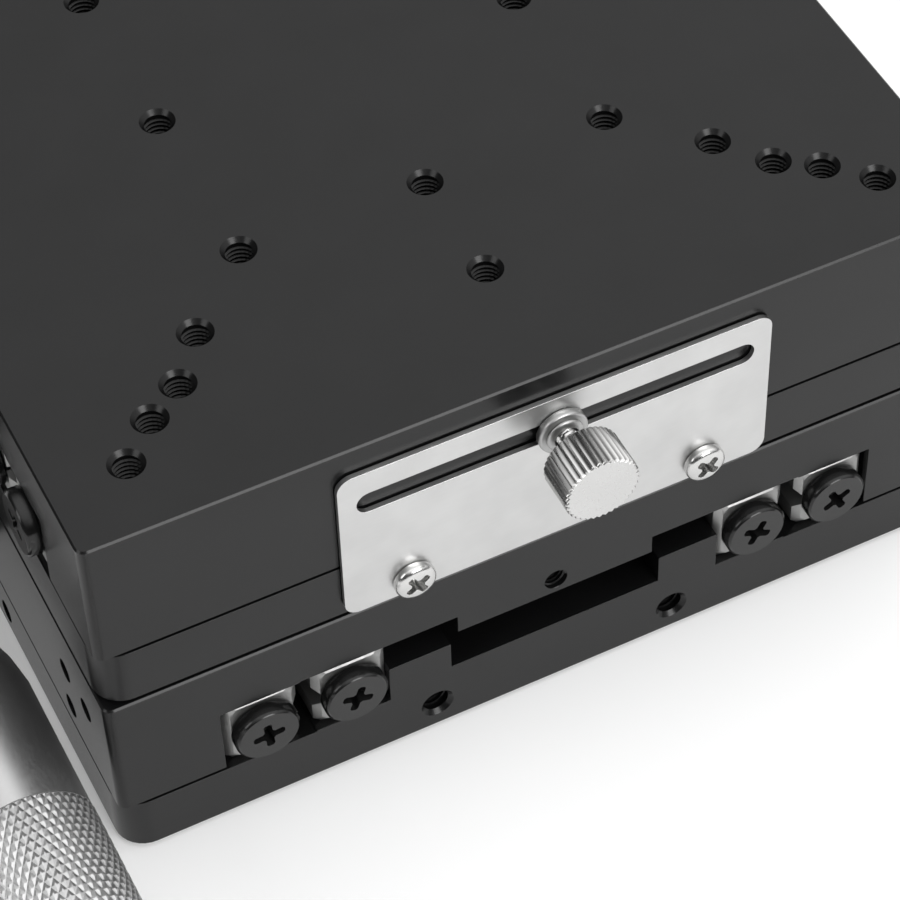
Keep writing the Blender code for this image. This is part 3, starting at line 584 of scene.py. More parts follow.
# %% Base plates
M4, M4_RIM, M3, DEEP_TAP, SHORT_TAP = 2.0, 2.3, 1.6, 8, 6
BASE_CHAMFER, PIN_PAST = 0.9, 0.9
FOOT_PLACE, FOOT_HOLE, FOOT_BORE, FOOT_BORE_DEPTH = 50.0, 2.25, 4.0, 4.5
END_TAP_X, END_TAP_Z, SIDE_TAP_Y, SIDE_TAP_Z = 17, 5.0, 20, 3.95
SPRING_Z = (FLANGE + RECESS_RISE + CEILING - PAD_DROP) / 2
PIN, BASE_PIN_Y, TABLE_PIN_Y = 1.2, -50, 12
base_half_outline = [
    (HALF + OVERRUN, FLANGE),
    (RAIL_SEAT, FLANGE),
    (RAIL_SEAT, FLANGE + RAIL_SEAT_RISE),
    (CENTRE, FLANGE + RAIL_SEAT_RISE),
    (CENTRE, FLANGE + CENTRE_RISE),
    (RECESS, FLANGE + CENTRE_RISE),
    (RECESS, FLANGE + RECESS_RISE),
]
for stage in STAGE_PLACE:
    body = FIXED_BODY[stage]
    outline = mirrored(base_half_outline) + [(-HALF - OVERRUN, -OVERRUN), (HALF + OVERRUN, -OVERRUN)]
    plate = workpiece(extruded(outline, -HALF - OVERRUN, HALF + OVERRUN))
    top = FLANGE + CENTRE_RISE + OVERRUN
    cut(plate, slab(BASE_CORNER, [(0, BASE_CHAMFER), (BASE_CHAMFER, 0), (top, 0)]), "INTERSECT")
    tools = []
    for sx in (-1, 1):
        for sy in (-1, 1):
            profile = [(-OVERRUN, FOOT_HOLE), (FLANGE - FOOT_BORE_DEPTH, FOOT_HOLE)]
            profile += [(FLANGE - FOOT_BORE_DEPTH, FOOT_BORE), (FLANGE + OVERRUN, FOOT_BORE)]
            tools.append(turned(profile, HOLE_STEPS, "Z", (sx * FOOT_PLACE, sy * FOOT_PLACE, 0)))
            mouth = (sx * END_TAP_X, sy * HALF, END_TAP_Z)
            tools.append(tapped(stage, body, "Y", mouth, sy, DEEP_TAP, M4, M4_RIM))
            mouth = (sx * HALF, sy * SIDE_TAP_Y, SIDE_TAP_Z)
            tools.append(tapped(stage, body, "X", mouth, sx, SHORT_TAP, M3, 0))
    cut(plate, joined(tools))
    pin = turned([(FLANGE, PIN), (SPRING_Z + PIN_PAST, PIN)], 20, "Z", (0, BASE_PIN_Y, 0))
    cut(plate, pin, "UNION")
    soften(plate, EDGE, steps=3, sharp=40)
    hand_over(plate, f"{stage}_base_plate", stage, anodised, body, [f"{stage}_base"])
    print(stage, "base plate:", len(plate.data.polygons), "faces")

# %% [markdown]
# The table plate is a slab with its pocket cut out from below. The upper one carries the grid of M4 holes
# for the user's parts, and the lower one only the four that hold the upper stage. In the sides are taps for
# the anvil block and the bore for the lock stud. All cutters are joined and cut at once, which is faster
# and leaves a cleaner mesh than one cut after another.

# %% Table plates
GRID_DIAGONALS = {"lower": (50,), "upper": (25, 35, 45, 50)}
GRID_CROSS, SIDE_ROW_X, SIDE_ROW_Y = 25, 41.5, (-40, 0, 40)
PAD_TAP_Z, SIDE_TAPS = 20.5, ((45.0, 20.9), (51.7, 20.9), (45.0, 13.6))
SLOT_Z, STUD_BORE, STUD_BORE_DEPTH, SKIRT_CHAMFER = 20.8, 1.65, 10.7, 0.15
table_half_outline = [
    (POCKET, SKIRT_BOTTOM - OVERRUN),
    (POCKET, OUTER_CEILING),
    (INNER_POCKET, OUTER_CEILING),
    (INNER_POCKET, CEILING),
    (PAD, CEILING),
    (PAD, CEILING - PAD_DROP),
]
for stage in STAGE_PLACE:
    body = MOVING_BODY[stage]
    levels = [(SKIRT_BOTTOM, SKIRT_CHAMFER), (SKIRT_BOTTOM + SKIRT_CHAMFER, 0)]
    levels += [(TABLE_TOP - EDGE_CUT, 0), (TABLE_TOP, EDGE_CUT)]
    plate = workpiece(slab(TABLE_CORNER, levels))
    cut(plate, extruded(mirrored(table_half_outline), -HALF - OVERRUN, HALF + OVERRUN))
    places = [(sx * d, sy * d) for d in GRID_DIAGONALS[stage] for sx in (-1, 1) for sy in (-1, 1)]
    if stage == "upper":
        places += [(GRID_CROSS, 0), (-GRID_CROSS, 0), (0, GRID_CROSS), (0, -GRID_CROSS)]
        places += [(sx * SIDE_ROW_X, y) for sx in (-1, 1) for y in SIDE_ROW_Y]
    tools = [tapped(stage, body, "Z", (x, y, TABLE_TOP), 1, DEEP_TAP, M4, M4_RIM) for x, y in places]
    for sy in (-1, 1):
        tools.append(tapped(stage, body, "Y", (0, sy * HALF, PAD_TAP_Z), sy, DEEP_TAP, M3, 0))
        for y, z in SIDE_TAPS:
            tools.append(tapped(stage, body, "X", (-HALF, sy * y, z), -1, SHORT_TAP, M3, 0))
    bore = [(HALF - STUD_BORE_DEPTH, STUD_BORE), (HALF + OVERRUN, STUD_BORE)]
    tools.append(turned(bore, HOLE_STEPS, "X", (0, 0, SLOT_Z)))
    cut(plate, joined(tools))
    pin = turned([(SPRING_Z - PIN_PAST, PIN), (CEILING + 1, PIN)], 20, "Z", (0, TABLE_PIN_Y, 0))
    cut(plate, pin, "UNION")
    soften(plate, EDGE, steps=3, sharp=40)
    hand_over(plate, f"{stage}_table_plate", stage, anodised, body, [f"{stage}_table"])
    print(stage, "table plate:", len(plate.data.polygons), "faces")

# %% [markdown]
# Threads, screws, rollers and scale lines repeat, so Geometry Nodes place them. Array modifiers or linked
# copies could too, but a tree takes any cloud of points and keeps its sizes as named inputs. The first
# helpers write a tree: its sockets, a node with its settings, and a named attribute of the points.

# %% Writing a tree
def new_tree(name, sockets):
    """A tree with one geometry in, one out, and named inputs given as (name, socket type)."""
    tree = bpy.data.node_groups.new(name, "GeometryNodeTree")
    tree.interface.new_socket("Points", in_out="INPUT", socket_type="NodeSocketGeometry")
    for label, kind in sockets:
        tree.interface.new_socket(label, in_out="INPUT", socket_type="NodeSocket" + kind)
    tree.interface.new_socket("Mesh", in_out="OUTPUT", socket_type="NodeSocketGeometry")
    return tree, tree.nodes.new("NodeGroupInput").outputs, tree.nodes.new("NodeGroupOutput").inputs


def node(tree, kind, inputs=None, **settings):
    """Adds a node, sets its properties, and fills its inputs with values or links."""
    made = tree.nodes.new(kind)
    for key, value in settings.items():
        setattr(made, key, value)
    for key, value in (inputs or {}).items():
        if isinstance(value, bpy.types.NodeSocket):
            tree.links.new(value, made.inputs[key])
        else:
            made.inputs[key].default_value = value
    return made


def attribute(tree, name, kind):
    """The output of a named attribute of the points."""
    return node(tree, "GeometryNodeInputNamedAttribute", {"Name": name}, data_type=kind).outputs["Attribute"]


print("helpers that write a tree are ready")

# %% [markdown]
# Each point carries the way its shape faces, its spin about that way, and its size. One rotation turns the
# shape to face its way, and a second, local one spins it. A single set of three angles would have to be
# worked out anew for each side of the object.

# %% Standing a shape on each point
def stand_on(tree, points, instance):
    """Instances that point along each point's `way`, turned by its `spin` and sized by its `size`."""
    way = attribute(tree, "way", "FLOAT_VECTOR")
    facing = node(tree, "FunctionNodeAlignRotationToVector", {"Vector": way}, axis="Z")
    spin = node(
        tree,
        "FunctionNodeAxisAngleToRotation",
        {"Axis": (0, 0, 1), "Angle": attribute(tree, "spin", "FLOAT")},
    )
    turn = node(
        tree,
        "FunctionNodeRotateRotation",
        {"Rotation": facing.outputs[0], "Rotate By": spin.outputs[0]},
        rotation_space="LOCAL",
    )
    return node(
        tree,
        "GeometryNodeInstanceOnPoints",
        {
            "Points": points,
            "Instance": instance,
            "Rotation": turn.outputs[0],
            "Scale": attribute(tree, "size", "FLOAT"),
        },
    ).outputs["Instances"]


def close_tree(tree, instances, finish_socket, mesh_out, smooth_all=True):
    """Real mesh, smooth shading and the finish: the last nodes of each tree."""
    real = node(tree, "GeometryNodeRealizeInstances", {"Geometry": instances})
    links = {"Geometry": real.outputs[0], "Shade Smooth": smooth_all}
    shaded = node(tree, "GeometryNodeSetShadeSmooth", links)
    links = {"Geometry": shaded.outputs[0], "Material": finish_socket}
    dressed = node(tree, "GeometryNodeSetMaterial", links)
    tree.links.new(dressed.outputs[0], mesh_out)


print("helpers that place instances are ready")

# %% [markdown]
# The tree runs as a modifier on a mesh of loose points. Its inputs are set by socket identifier before the
# object is evaluated, the result is read with `new_from_object`, and the modifier goes away with the points
# it stood on, so that what is left is a plain mesh.

# %% Running a tree on points
def point_cloud(points):
    """A mesh of loose points. Each is (place, way, size, spin)."""
    mesh = bpy.data.meshes.new("points")
    mesh.from_pydata([p[0] for p in points], [], [])
    way = mesh.attributes.new("way", "FLOAT_VECTOR", "POINT")
    way.data.foreach_set("vector", [c for p in points for c in p[1]])
    for label, column in (("size", 2), ("spin", 3)):
        layer = mesh.attributes.new(label, "FLOAT", "POINT")
        layer.data.foreach_set("value", [p[column] for p in points])
    made = bpy.data.objects.new("points", mesh)
    bpy.context.scene.collection.objects.link(made)
    return made


def grow(tree, points, values):
    """Runs a tree on a cloud of points, and returns the plain mesh object."""
    stand = point_cloud(points)
    modifier = stand.modifiers.new(tree.name, "NODES")
    modifier.node_group = tree
    for item in tree.interface.items_tree:
        if item.in_out == "INPUT" and item.name in values:
            modifier[item.identifier] = values[item.name]
    return bake(stand)


print("points carry a way, a size and a spin")

# %% [markdown]
# A thread's ridge is a spiral swept with a small triangle, eight turns long, which reaches past what a look
# into the hole shows. Cutting it with Booleans would take minutes for so many holes. The ridge is sized for
# an M4 hole, and each point's size scales it for its own.

# %% The thread ridge, and one for every hole
thread_tree, given, result = new_tree(
    "thread_in_each_hole",
    [(name, "Float") for name in ("Major radius", "Ridge", "Depth", "Turns")] + [("Finish", "Material")],
)
helix = node(
    thread_tree,
    "GeometryNodeCurveSpiral",
    {
        "Resolution": 22,
        "Rotations": given["Turns"],
        "Start Radius": given["Major radius"],
        "End Radius": given["Major radius"],
        "Height": given["Depth"],
    },
)
upright = node(thread_tree, "GeometryNodeSetCurveNormal", {"Curve": helix.outputs[0]}, mode="Z_UP")
three_sides = {"Resolution": 3, "Radius": given["Ridge"]}
triangle = node(thread_tree, "GeometryNodeCurvePrimitiveCircle", three_sides, mode="RADIUS")
ridge = node(
    thread_tree,
    "GeometryNodeCurveToMesh",
    {"Curve": upright.outputs[0], "Profile Curve": triangle.outputs[0], "Fill Caps": True},
)
threaded = stand_on(thread_tree, given["Points"], ridge.outputs[0])
close_tree(thread_tree, threaded, given["Finish"], result["Mesh"], smooth_all=False)
for body, holes in thread_points.items():
    points = [(place, way, major / M4, 0.0) for place, way, major in holes]
    values = {"Major radius": 1.94 * MM, "Ridge": 0.18 * MM, "Depth": 5.6 * MM, "Turns": 8.0}
    values["Finish"] = anodised
    threads = grow(thread_tree, points, values)
    hand_over(threads, f"{body}_hole_threads", None, anodised, body, [])
    print(body, "threads:", len(points), "holes,", len(threads.data.polygons), "faces")

# %% [markdown]
# Each rail is hardened steel, ground bright: a bar with chamfered edges and a 90 degree groove down the
# side that faces its partner, with a narrow relief slot at the bottom of the groove. The ends in the
# photograph have a broad flat chamfer, so the bar is lofted with the chamfer in its rings, which a bevel on
# every edge alike would not give, and the groove is then cut along it.

# %% Rails
RAIL_HALF, RAIL_HIGH, RAIL_CUT = 5.0, 5.5, 0.9
RAIL_END = 59.5
GROOVE = 4.0 / sqrt(2) - 1.0
RELIEF = 0.35
END_CHAMFER = 0.9
RAIL_TAP, RAIL_TAP_DEPTH = 1.7, 8


def rail_shape(centre_x, groove_side):
    """A bar with chamfered ends, its V groove with the relief slot, and the tapped holes in its ends."""
    full = RAIL_END - END_CHAMFER
    rings = []
    for place, inset in ((-RAIL_END, END_CHAMFER), (-full, 0), (full, 0), (RAIL_END, END_CHAMFER)):
        wide, high = RAIL_HALF - inset, RAIL_HIGH - inset
        flat, tall = wide - RAIL_CUT, high - RAIL_CUT
        outline = [(wide, -tall), (wide, tall), (flat, high), (-flat, high)]
        outline += [(-x, -z) for x, z in outline]
        rings.append([(centre_x + x, place, RAIL_MIDDLE + z) for x, z in outline])
    rail = workpiece(loft(rings))
    groove = [
        (RAIL_HALF + GROOVE, -2 * GROOVE),
        (RAIL_HALF - GROOVE + RELIEF, -RELIEF),
        (RAIL_HALF - GROOVE - RELIEF, -RELIEF),
        (RAIL_HALF - GROOVE - RELIEF, RELIEF),
        (RAIL_HALF - GROOVE + RELIEF, RELIEF),
        (RAIL_HALF + GROOVE, 2 * GROOVE),
    ]
    groove = [(centre_x + groove_side * x, RAIL_MIDDLE + z) for x, z in groove]
    cut(rail, extruded(groove, -RAIL_END - OVERRUN, RAIL_END + OVERRUN))
    holes = []
    for side in (-1, 1):
        hole = [(side * (RAIL_END - RAIL_TAP_DEPTH), RAIL_TAP), (side * (RAIL_END + OVERRUN), RAIL_TAP)]
        holes.append(turned(hole, 24, "Y", (centre_x, 0, RAIL_MIDDLE)))
    cut(rail, joined(holes))
    return soften(rail, 0.12, steps=2, over=40)


for label, side in (("left", -1), ("right", 1)):
    for role, outward in (("inner", -1), ("outer", 1)):
        rail = rail_shape(side * (RAILS_AT + outward * RAIL_STEP), -outward * side)
        for stage in STAGE_PLACE:
            name = f"{stage}_{role}_rail_{label}"
            body = (FIXED_BODY if role == "inner" else MOVING_BODY)[stage]
            hand_over(rail, f"{name}_ground", stage, ground[stage], body, [name], keep=True)
        bpy.data.objects.remove(rail, do_unlink=True)
print("eight rails,", len(made_pieces[-1].data.polygons), "faces each")

# %% [markdown]
# Sixteen large flat screws close the ends of the rails and stop the roller cages. One screw is modelled
# with care, its cross recess cut with two tapered wings that cross and a hub where they meet, as a punch
# would press it. A picture of a cross would lack the dark walls that the photograph shows. Geometry Nodes
# then stands a copy on each place, turned by its own angle as real screws are.

# %% The cross recess
def cross_recess(face, span, width, depth):
    """A tapered cross cutter on the Z axis, cut down from the height of the face."""
    wings = []
    for turn in (0, pi / 2):
        rings = []
        for drop, share in ((-0.3, 1.03), (0, 1.0), (depth * 0.5, 0.9), (depth, 0.72)):
            long, wide = span / 2 * share, width / 2 * (1 - 0.2 * max(drop, 0) / depth)
            corners = [(long, -wide * 0.55), (long, wide * 0.55), (long - wide * 0.5, wide)]
            corners += [(-x, y) for x, y in reversed(corners)]
            corners += [(-long, -wide * 0.55), (-long + wide * 0.5, -wide), (long - wide * 0.5, -wide)]
            ring = []
            for x, y in dict.fromkeys(corners):
                ring.append((x * cos(turn) - y * sin(turn), x * sin(turn) + y * cos(turn), face - drop))
            rings.append(ring)
        wings.append(loft(rings))
    return wings


def screw_with_cross(profile, steps, face, span, width, depth, edge):
    """A turned screw on the Z axis with a cross recess in its face."""
    screw = workpiece(turned(profile, steps, "Z"))
    for wing in cross_recess(face, span, width, depth):
        cut(screw, wing)
    hub = [(face - depth * 1.15, width * 0.2), (face - depth * 0.5, width * 0.72), (face + 0.3, width * 0.95)]
    cut(screw, turned(hub, 16, "Z"))
    return soften(screw, edge, steps=2, over=45)


print("a cross recess is cut by two wings and a hub")

# %% [markdown]
# The end screw has a wide flat head whose rim is broken twice, as a lathe leaves it. The tree is short: it
# takes any object as its piece and stands it on every point, so it serves all screws, rollers and lines.

# %% The end screw, and the tree that copies a piece to each point
HEAD, HEAD_THICK = 4.3, 2.1
end_profile = [
    (-6.9, 1.5),
    (0.0, 1.5),
    (0.0, HEAD - 0.3),
    (0.25, HEAD),
    (HEAD_THICK - 0.4, HEAD),
    (HEAD_THICK, HEAD - 0.4),
]
end_screw = screw_with_cross(end_profile, 64, HEAD_THICK, 4.2, 1.1, 2.4, 0.05)
copy_tree, given, result = new_tree("a_copy_on_each_point", [("Piece", "Object"), ("Finish", "Material")])
source = node(copy_tree, "GeometryNodeObjectInfo", {"Object": given["Piece"]})
placed = stand_on(copy_tree, given["Points"], source.outputs["Geometry"])
close_tree(copy_tree, placed, given["Finish"], result["Mesh"])
print("end screw:", len(end_screw.data.polygons), "faces")

# %% [markdown]
# Each rail end gets its screw. The turns of those in the photograph were read off their crosses, and the
# others are plain picks, listed rather than random so that the picture is the same every time. The screws
# of one body make one piece.

# %% End screws in their places
SCREW_SEAT = 59.55
END_SPINS = {
    "base": [-0.35, 0.4, -0.49, 0.8, 0.2, 0.9, -0.6, 0.1],
    "middle": [0.07, 0.6, 0.5, -0.3, 0.5, -0.2, 0.3, 0.75],
    "top": [0.6, 0.25, -0.4, 0.15],
}
end_points = {"base": [], "middle": [], "top": []}
end_nodes = {"base": [], "middle": [], "top": []}
for stage in STAGE_PLACE:
    for role, bodies, outward in (("inner", FIXED_BODY, -1), ("outer", MOVING_BODY, 1)):
        across = RAILS_AT + outward * RAIL_STEP
        for label, side in (("left", -1), ("right", 1)):
            for end, sy in (("front", -1), ("rear", 1)):
                body = bodies[stage]
                spot = on_stage(stage, (side * across, sy * SCREW_SEAT, RAIL_MIDDLE), (0, sy, 0))
                end_points[body].append((*spot, MM, END_SPINS[body][len(end_points[body])]))
                end_nodes[body].append(f"{stage}_{role}_rail_{label}_{end}_screw")
for body, points in end_points.items():
    screws = smooth(grow(copy_tree, points, {"Piece": end_screw, "Finish": blackened}))
    hand_over(screws, f"{body}_rail_end_screws", None, blackened, body, end_nodes[body])
    print(body, "end screws:", len(points))
bpy.data.objects.remove(end_screw, do_unlink=True)

# %% [markdown]
# Between the rails run the roller cages: a thin strip that holds thirteen rollers, each with its axis
# square to the next one's, so that every second roller carries the load the other way. A row of points
# along the strip is all that Geometry Nodes needs, with the lean of each roller in its `spin`.

# %% Roller cages
ROLLERS, PITCH, ROLLER, ROLLER_HALF, ROLLER_EDGE = 13, 7.0, 1.94, 1.88, 0.2
CAGE_HALF_LENGTH, STRIP_HALF, STRIP_HALF_HIGH, WINDOW = 46, 0.4, 4.3, 2.214
row = [(number - (ROLLERS - 1) / 2) * PITCH for number in range(ROLLERS)]
flat = ROLLER_HALF - ROLLER_EDGE
edge = ROLLER - ROLLER_EDGE
roller_profile = [(-ROLLER_HALF, edge), (-flat, ROLLER), (flat, ROLLER), (ROLLER_HALF, edge)]
roller = smooth(workpiece(turned(roller_profile, 28, "X")), radians(28))
strip_outline = [(sx * STRIP_HALF, sz * STRIP_HALF_HIGH) for sx, sz in ((-1, -1), (1, -1), (1, 1), (-1, 1))]
for stage in STAGE_PLACE:
    body = f"{TRAVEL[stage]}_roller_cages"
    strips, windows, points = [], [], []
    for side in (-1, 1):
        middle = side * RAILS_AT
        outline = [(middle + x, RAIL_MIDDLE + z) for x, z in strip_outline]
        strips.append(extruded(outline, -CAGE_HALF_LENGTH, CAGE_HALF_LENGTH))
        for number, y in enumerate(row):
            spot = on_stage(stage, (middle, y, RAIL_MIDDLE), (0, 1, 0))
            points.append((*spot, MM, pi / 4 if number % 2 else -pi / 4))
            turns = [pi / 8 + step * pi / 4 for step in range(8)]
            window = [(y + WINDOW * cos(turn), RAIL_MIDDLE + WINDOW * sin(turn)) for turn in turns]
            windows.append(extruded(window, middle - 1, middle + 1, "X"))
    strip = workpiece(joined(strips))
    cut(strip, joined(windows))
    soften(strip, 0.06, steps=1)
    nodes = [f"{stage}_roller_cage_{label}" for label in ("left", "right")]
    hand_over(strip, f"{stage}_cage_strips", stage, brass, body, nodes)
    rollers = smooth(grow(copy_tree, points, {"Piece": roller, "Finish": roller_steel}), radians(28))
    hand_over(rollers, f"{stage}_rollers", None, roller_steel, body, [])
    print(stage, "rollers:", len(points))
bpy.data.objects.remove(roller, do_unlink=True)

# %% [markdown]
# The lock plate is a slotted stainless sheet on the base's side. The lock screw in the table slides along
# its slot, and clamps the table to it. An outline drawn out to the sheet's thickness, with its slot and
# holes cut through, is how the real one is made too, and its edges are only just broken, as on laser-cut
# sheet.

# %% Lock plates
LOCK_IN, LOCK_OUT, LOCK_HALF, LOCK_HALF_HIGH, LOCK_CORNER, LOCK_MIDDLE_Z = 60.22, 60.9, 29.0, 12.45, 2.0, 13.7
SLOT_HALF, SLOT_WIDE, PLATE_SCREW_Y, PLATE_SCREW_Z, PLATE_HOLE = 26.65, 1.65, 20.0, 3.95, 1.6


def round_rectangle(half_y, half_z, radius, centre_z, steps=8):
    """Points round a rectangle with round corners."""
    points = []
    for quarter, (sy, sz) in enumerate(((1, 1), (-1, 1), (-1, -1), (1, -1))):
        for step in range(steps + 1):
            turn = pi / 2 * (quarter + step / steps)
            y, z = sy * (half_y - radius), centre_z + sz * (half_z - radius)
            points.append((y + radius * cos(turn), z + radius * sin(turn)))
    return points


def slot_outline(half_length, radius, centre_z, steps=14):
    """Points round a slot with round ends."""
    points = []
    for side, start in ((1, -pi / 2), (-1, pi / 2)):
        for step in range(steps + 1):
            turn = start + pi * step / steps
            points.append((side * (half_length - radius) + radius * cos(turn), centre_z + radius * sin(turn)))
    return points


sheet_outline = round_rectangle(LOCK_HALF, LOCK_HALF_HIGH, LOCK_CORNER, LOCK_MIDDLE_Z)
lock_sheet = workpiece(extruded(sheet_outline, LOCK_IN, LOCK_OUT, "X"))
openings = [extruded(slot_outline(SLOT_HALF, SLOT_WIDE, SLOT_Z), LOCK_IN - 1, LOCK_OUT + 1, "X")]
for sy in (-1, 1):
    hole = [(LOCK_IN - 1, PLATE_HOLE), (LOCK_OUT + 1, PLATE_HOLE)]
    openings.append(turned(hole, 32, "X", (0, sy * PLATE_SCREW_Y, PLATE_SCREW_Z)))
cut(lock_sheet, joined(openings))
soften(lock_sheet, 0.04)
for stage in STAGE_PLACE:
    coat, body, nodes = sheet_steel[stage], FIXED_BODY[stage], [f"{stage}_lock_plate"]
    hand_over(lock_sheet, f"{stage}_lock_sheet", stage, coat, body, nodes, keep=True)
print("lock sheet:", len(lock_sheet.data.polygons), "faces")
bpy.data.objects.remove(lock_sheet, do_unlink=True)

# %% [markdown]
# Two small pan head screws hold each lock plate, each with a spacer ring that keeps the sheet off the side
# of the base. They are turned and cut as the end screws are, with a round head, and the same tree stands
# them in place. The ring is part of the same profile, because nothing of it shows but its rim.

# %% Pan head screws of the lock plates
pan_profile = [(-4.9, 1.4), (-0.86, 1.4), (-0.86, 2.3), (-0.73, 2.3), (-0.73, 1.4), (0.0, 1.4), (0.0, 2.55)]
pan_profile += [(0.2, 2.72), (0.75, 2.75), (1.1, 2.62), (1.38, 2.3), (1.54, 1.8), (1.6, 1.2)]
pan_screw = screw_with_cross(pan_profile, 48, 1.6, 3.5, 1.0, 1.6, 0.05)
PAN_SPINS = (0.62, 0.85)
for stage in STAGE_PLACE:
    points = []
    for sy, spin in zip((-1, 1), PAN_SPINS):
        spot = on_stage(stage, (LOCK_OUT + 0.05, sy * PLATE_SCREW_Y, PLATE_SCREW_Z), (1, 0, 0))
        points.append((*spot, MM, spin))
    screws = smooth(grow(copy_tree, points, {"Piece": pan_screw, "Finish": nickel}))
    nodes = [f"{stage}_lock_plate_screw_{label}" for label in ("front", "rear")]
    hand_over(screws, f"{stage}_lock_plate_screws", None, nickel, FIXED_BODY[stage], nodes)
print("pan head screw:", len(pan_screw.data.polygons), "faces")
bpy.data.objects.remove(pan_screw, do_unlink=True)

# %% [markdown]
# The lock screw is one stack on the stud's axis: a thick washer, a narrower collar, the threaded stud and
# the fluted knob. All are turned, and a ripple in the radius gives the stud its thread. It is too fine here
# to be worth a swept ridge.

# %% Washer, collar and stud
AXIS = (0, 0, SLOT_Z)
STUD, STUD_IN, STUD_LONG, STUD_STEPS, STUD_PITCH, STUD_THREAD = 1.45, 53.0, 16.8, 140, 0.5, 0.26
washer_profile = [(60.95, 1.65), (60.95, 3.1), (61.1, 3.3), (61.8, 3.3)]
washer_profile += [(62.05, 3.2), (62.15, 2.95), (62.15, 1.65)]
collar_profile = [(62.2, 1.65), (62.2, 2.4), (62.28, 2.48), (62.45, 2.45)]
collar_profile += [(62.6, 2.25), (62.85, 1.8), (62.85, 1.65)]
rod = [(STUD_IN + STUD_LONG * i / STUD_STEPS, STUD) for i in range(STUD_STEPS + 1)]


def thread_ripple(place, radius, turn):
    """A helical ripple: crest and root go round once in each pitch."""
    phase = (place / STUD_PITCH - turn / (2 * pi)) % 1.0
    return -STUD_THREAD * (1 - abs(2 * phase - 1))


washer = smooth(workpiece(turned(washer_profile, 56, "X", AXIS, closed_loop=True)), radians(60))
collar = smooth(workpiece(turned(collar_profile, 48, "X", AXIS, closed_loop=True)), radians(60))
stud = smooth(workpiece(turned(rod, 24, "X", AXIS, ripple=thread_ripple)), radians(60))
print("stud:", len(stud.data.polygons), "faces")

# %% [markdown]
# The knob's flutes are a ripple too, zero at its inner end, and its outer face is a flat turned disc. Shade
# is painted into the flutes' grooves, so the depth of each point is kept in an attribute called groove, which
# the finish reads to darken them. Noise alone would not know where the grooves are.

# %% Fluted knob
KNOB_IN, KNOB_OUT, KNOB, FLUTES, FLUTE = 65.9, 71.9, 4.95, 36, 0.32
knob_profile = [(KNOB_IN + 4.0, 1.65), (KNOB_IN + 0.2, 1.65), (KNOB_IN, 1.85), (KNOB_IN, 3.4)]
knob_profile += [(KNOB_IN, KNOB - 0.42), (KNOB_IN + 0.15, KNOB - 0.12), (KNOB_IN + 0.35, KNOB)]
knob_profile += [(KNOB_OUT - 0.3, KNOB), (KNOB_OUT - 0.12, KNOB - 0.06)]
knob_profile += [(KNOB_OUT, KNOB - 0.2), (KNOB_OUT, 3.0)]


def fluted(place, radius, turn):
    """The knob's ripple: sharp crests, with grooves between them that run out at the inner end."""
    if radius <= KNOB - 0.5:
        return 0.0
    wave = 1 - abs(2 * ((turn * FLUTES / (2 * pi)) % 1.0) - 1)
    return -FLUTE * (1 - wave ** 0.8) * min(1.0, (place - KNOB_IN) / 0.3)


knob = smooth(workpiece(turned(knob_profile, FLUTES * 10, "X", AXIS, ripple=fluted)), radians(38))
# The groove depth, which the finish uses to paint shade into the grooves.
groove = knob.data.attributes.new("groove", "FLOAT", "POINT")
for vertex in knob.data.vertices:
    deep = KNOB - (vertex.co.yz - Vector((0, SLOT_Z))).length
    on_flank = vertex.co.x < KNOB_OUT - 0.15
    groove.data[vertex.index].value = min(1.0, max(0.0, deep / FLUTE)) if on_flank else 0.0
print("knob:", len(knob.data.polygons), "faces")

# %% [markdown]
# The stack is the same on both stages. Washer and collar ride with the table, the stud slides in it, and
# the knob turns on the stud, so each goes to the body that carries it. Joined up as one piece they would be
# quicker to hand over, but then nothing could turn.

# %% The lock screws on both stages
for stage in STAGE_PLACE:
    body = MOVING_BODY[stage]
    stud_body, knob_body = f"{TRAVEL[stage]}_lock_stud", f"{TRAVEL[stage]}_lock_knob"
    for part, name, coat, rides_on, node_name in (
        (washer, "thick_washer", pale_ring, body, "lock_washer"),
        (collar, "screw_collar", pale_ring, body, "lock_spring_washer"),
        (stud, "threaded_stud", nickel, stud_body, "lock_stud"),
        (knob, "fluted_knob", knob_plate, knob_body, "lock_knob"),
    ):
        nodes = [f"{stage}_{node_name}"]
        hand_over(part, f"{stage}_{name}", stage, coat, rides_on, nodes, keep=True)
for part in (washer, collar, stud, knob):
    bpy.data.objects.remove(part, do_unlink=True)
print("lock screws: both stages")

# %% [markdown]
# The micrometer: a barrel with an engraved scale, a spindle, a thimble that turns over the barrel, and a
# friction cap. The thimble's grip has a diamond knurl, rolled in by two wheels: two families of V grooves
# that cross at an angle and leave small pyramids with flat tops. A bump map would look flat at the rim,
# where the photograph shows the points against the light, so the grooves are in the mesh. It is a grid,
# four steps from one groove to the next, and each square is split along its more level diagonal, which
# keeps grooves and crests straight.

# %% Micrometer sizes and the knurl
MIC_X, MIC_Z = -72.65, 15.0
MIC = (MIC_X, 0, MIC_Z)
THIMBLE, THIMBLE_REAR, THIMBLE_FRONT = 9.0, -34.5, -96.8
BORE, LIP, BEVEL_END, BEVEL_TOP, SLOPE_END = 7.3, 7.55, -37.5, 8.449, -41.5
KNURL_START, KNURL_END, KNURL_RISE, KNURL_DEPTH = -62.42, -90.5, 0.1, 0.19
AROUND, ROW, TWIST, FINE, CREST = 96, 1.122, -0.21, 4, 0.75
FIRST_PEAK_ROW, FIRST_PEAK_TURN = -62.94, 0.179


def knurl_height(step, row):
    """Height between groove and crest, 0 to 1, from two crossing families of V grooves."""
    gaps = []
    for phase in ((step + row) / 2 + 0.5, (step - row) / 2 + 0.5):
        gaps.append(2 * abs(phase - round(phase)))
    return min(1.0, min(gaps) / CREST)


print("knurl:", AROUND, "points round, rows", ROW, "mm apart")

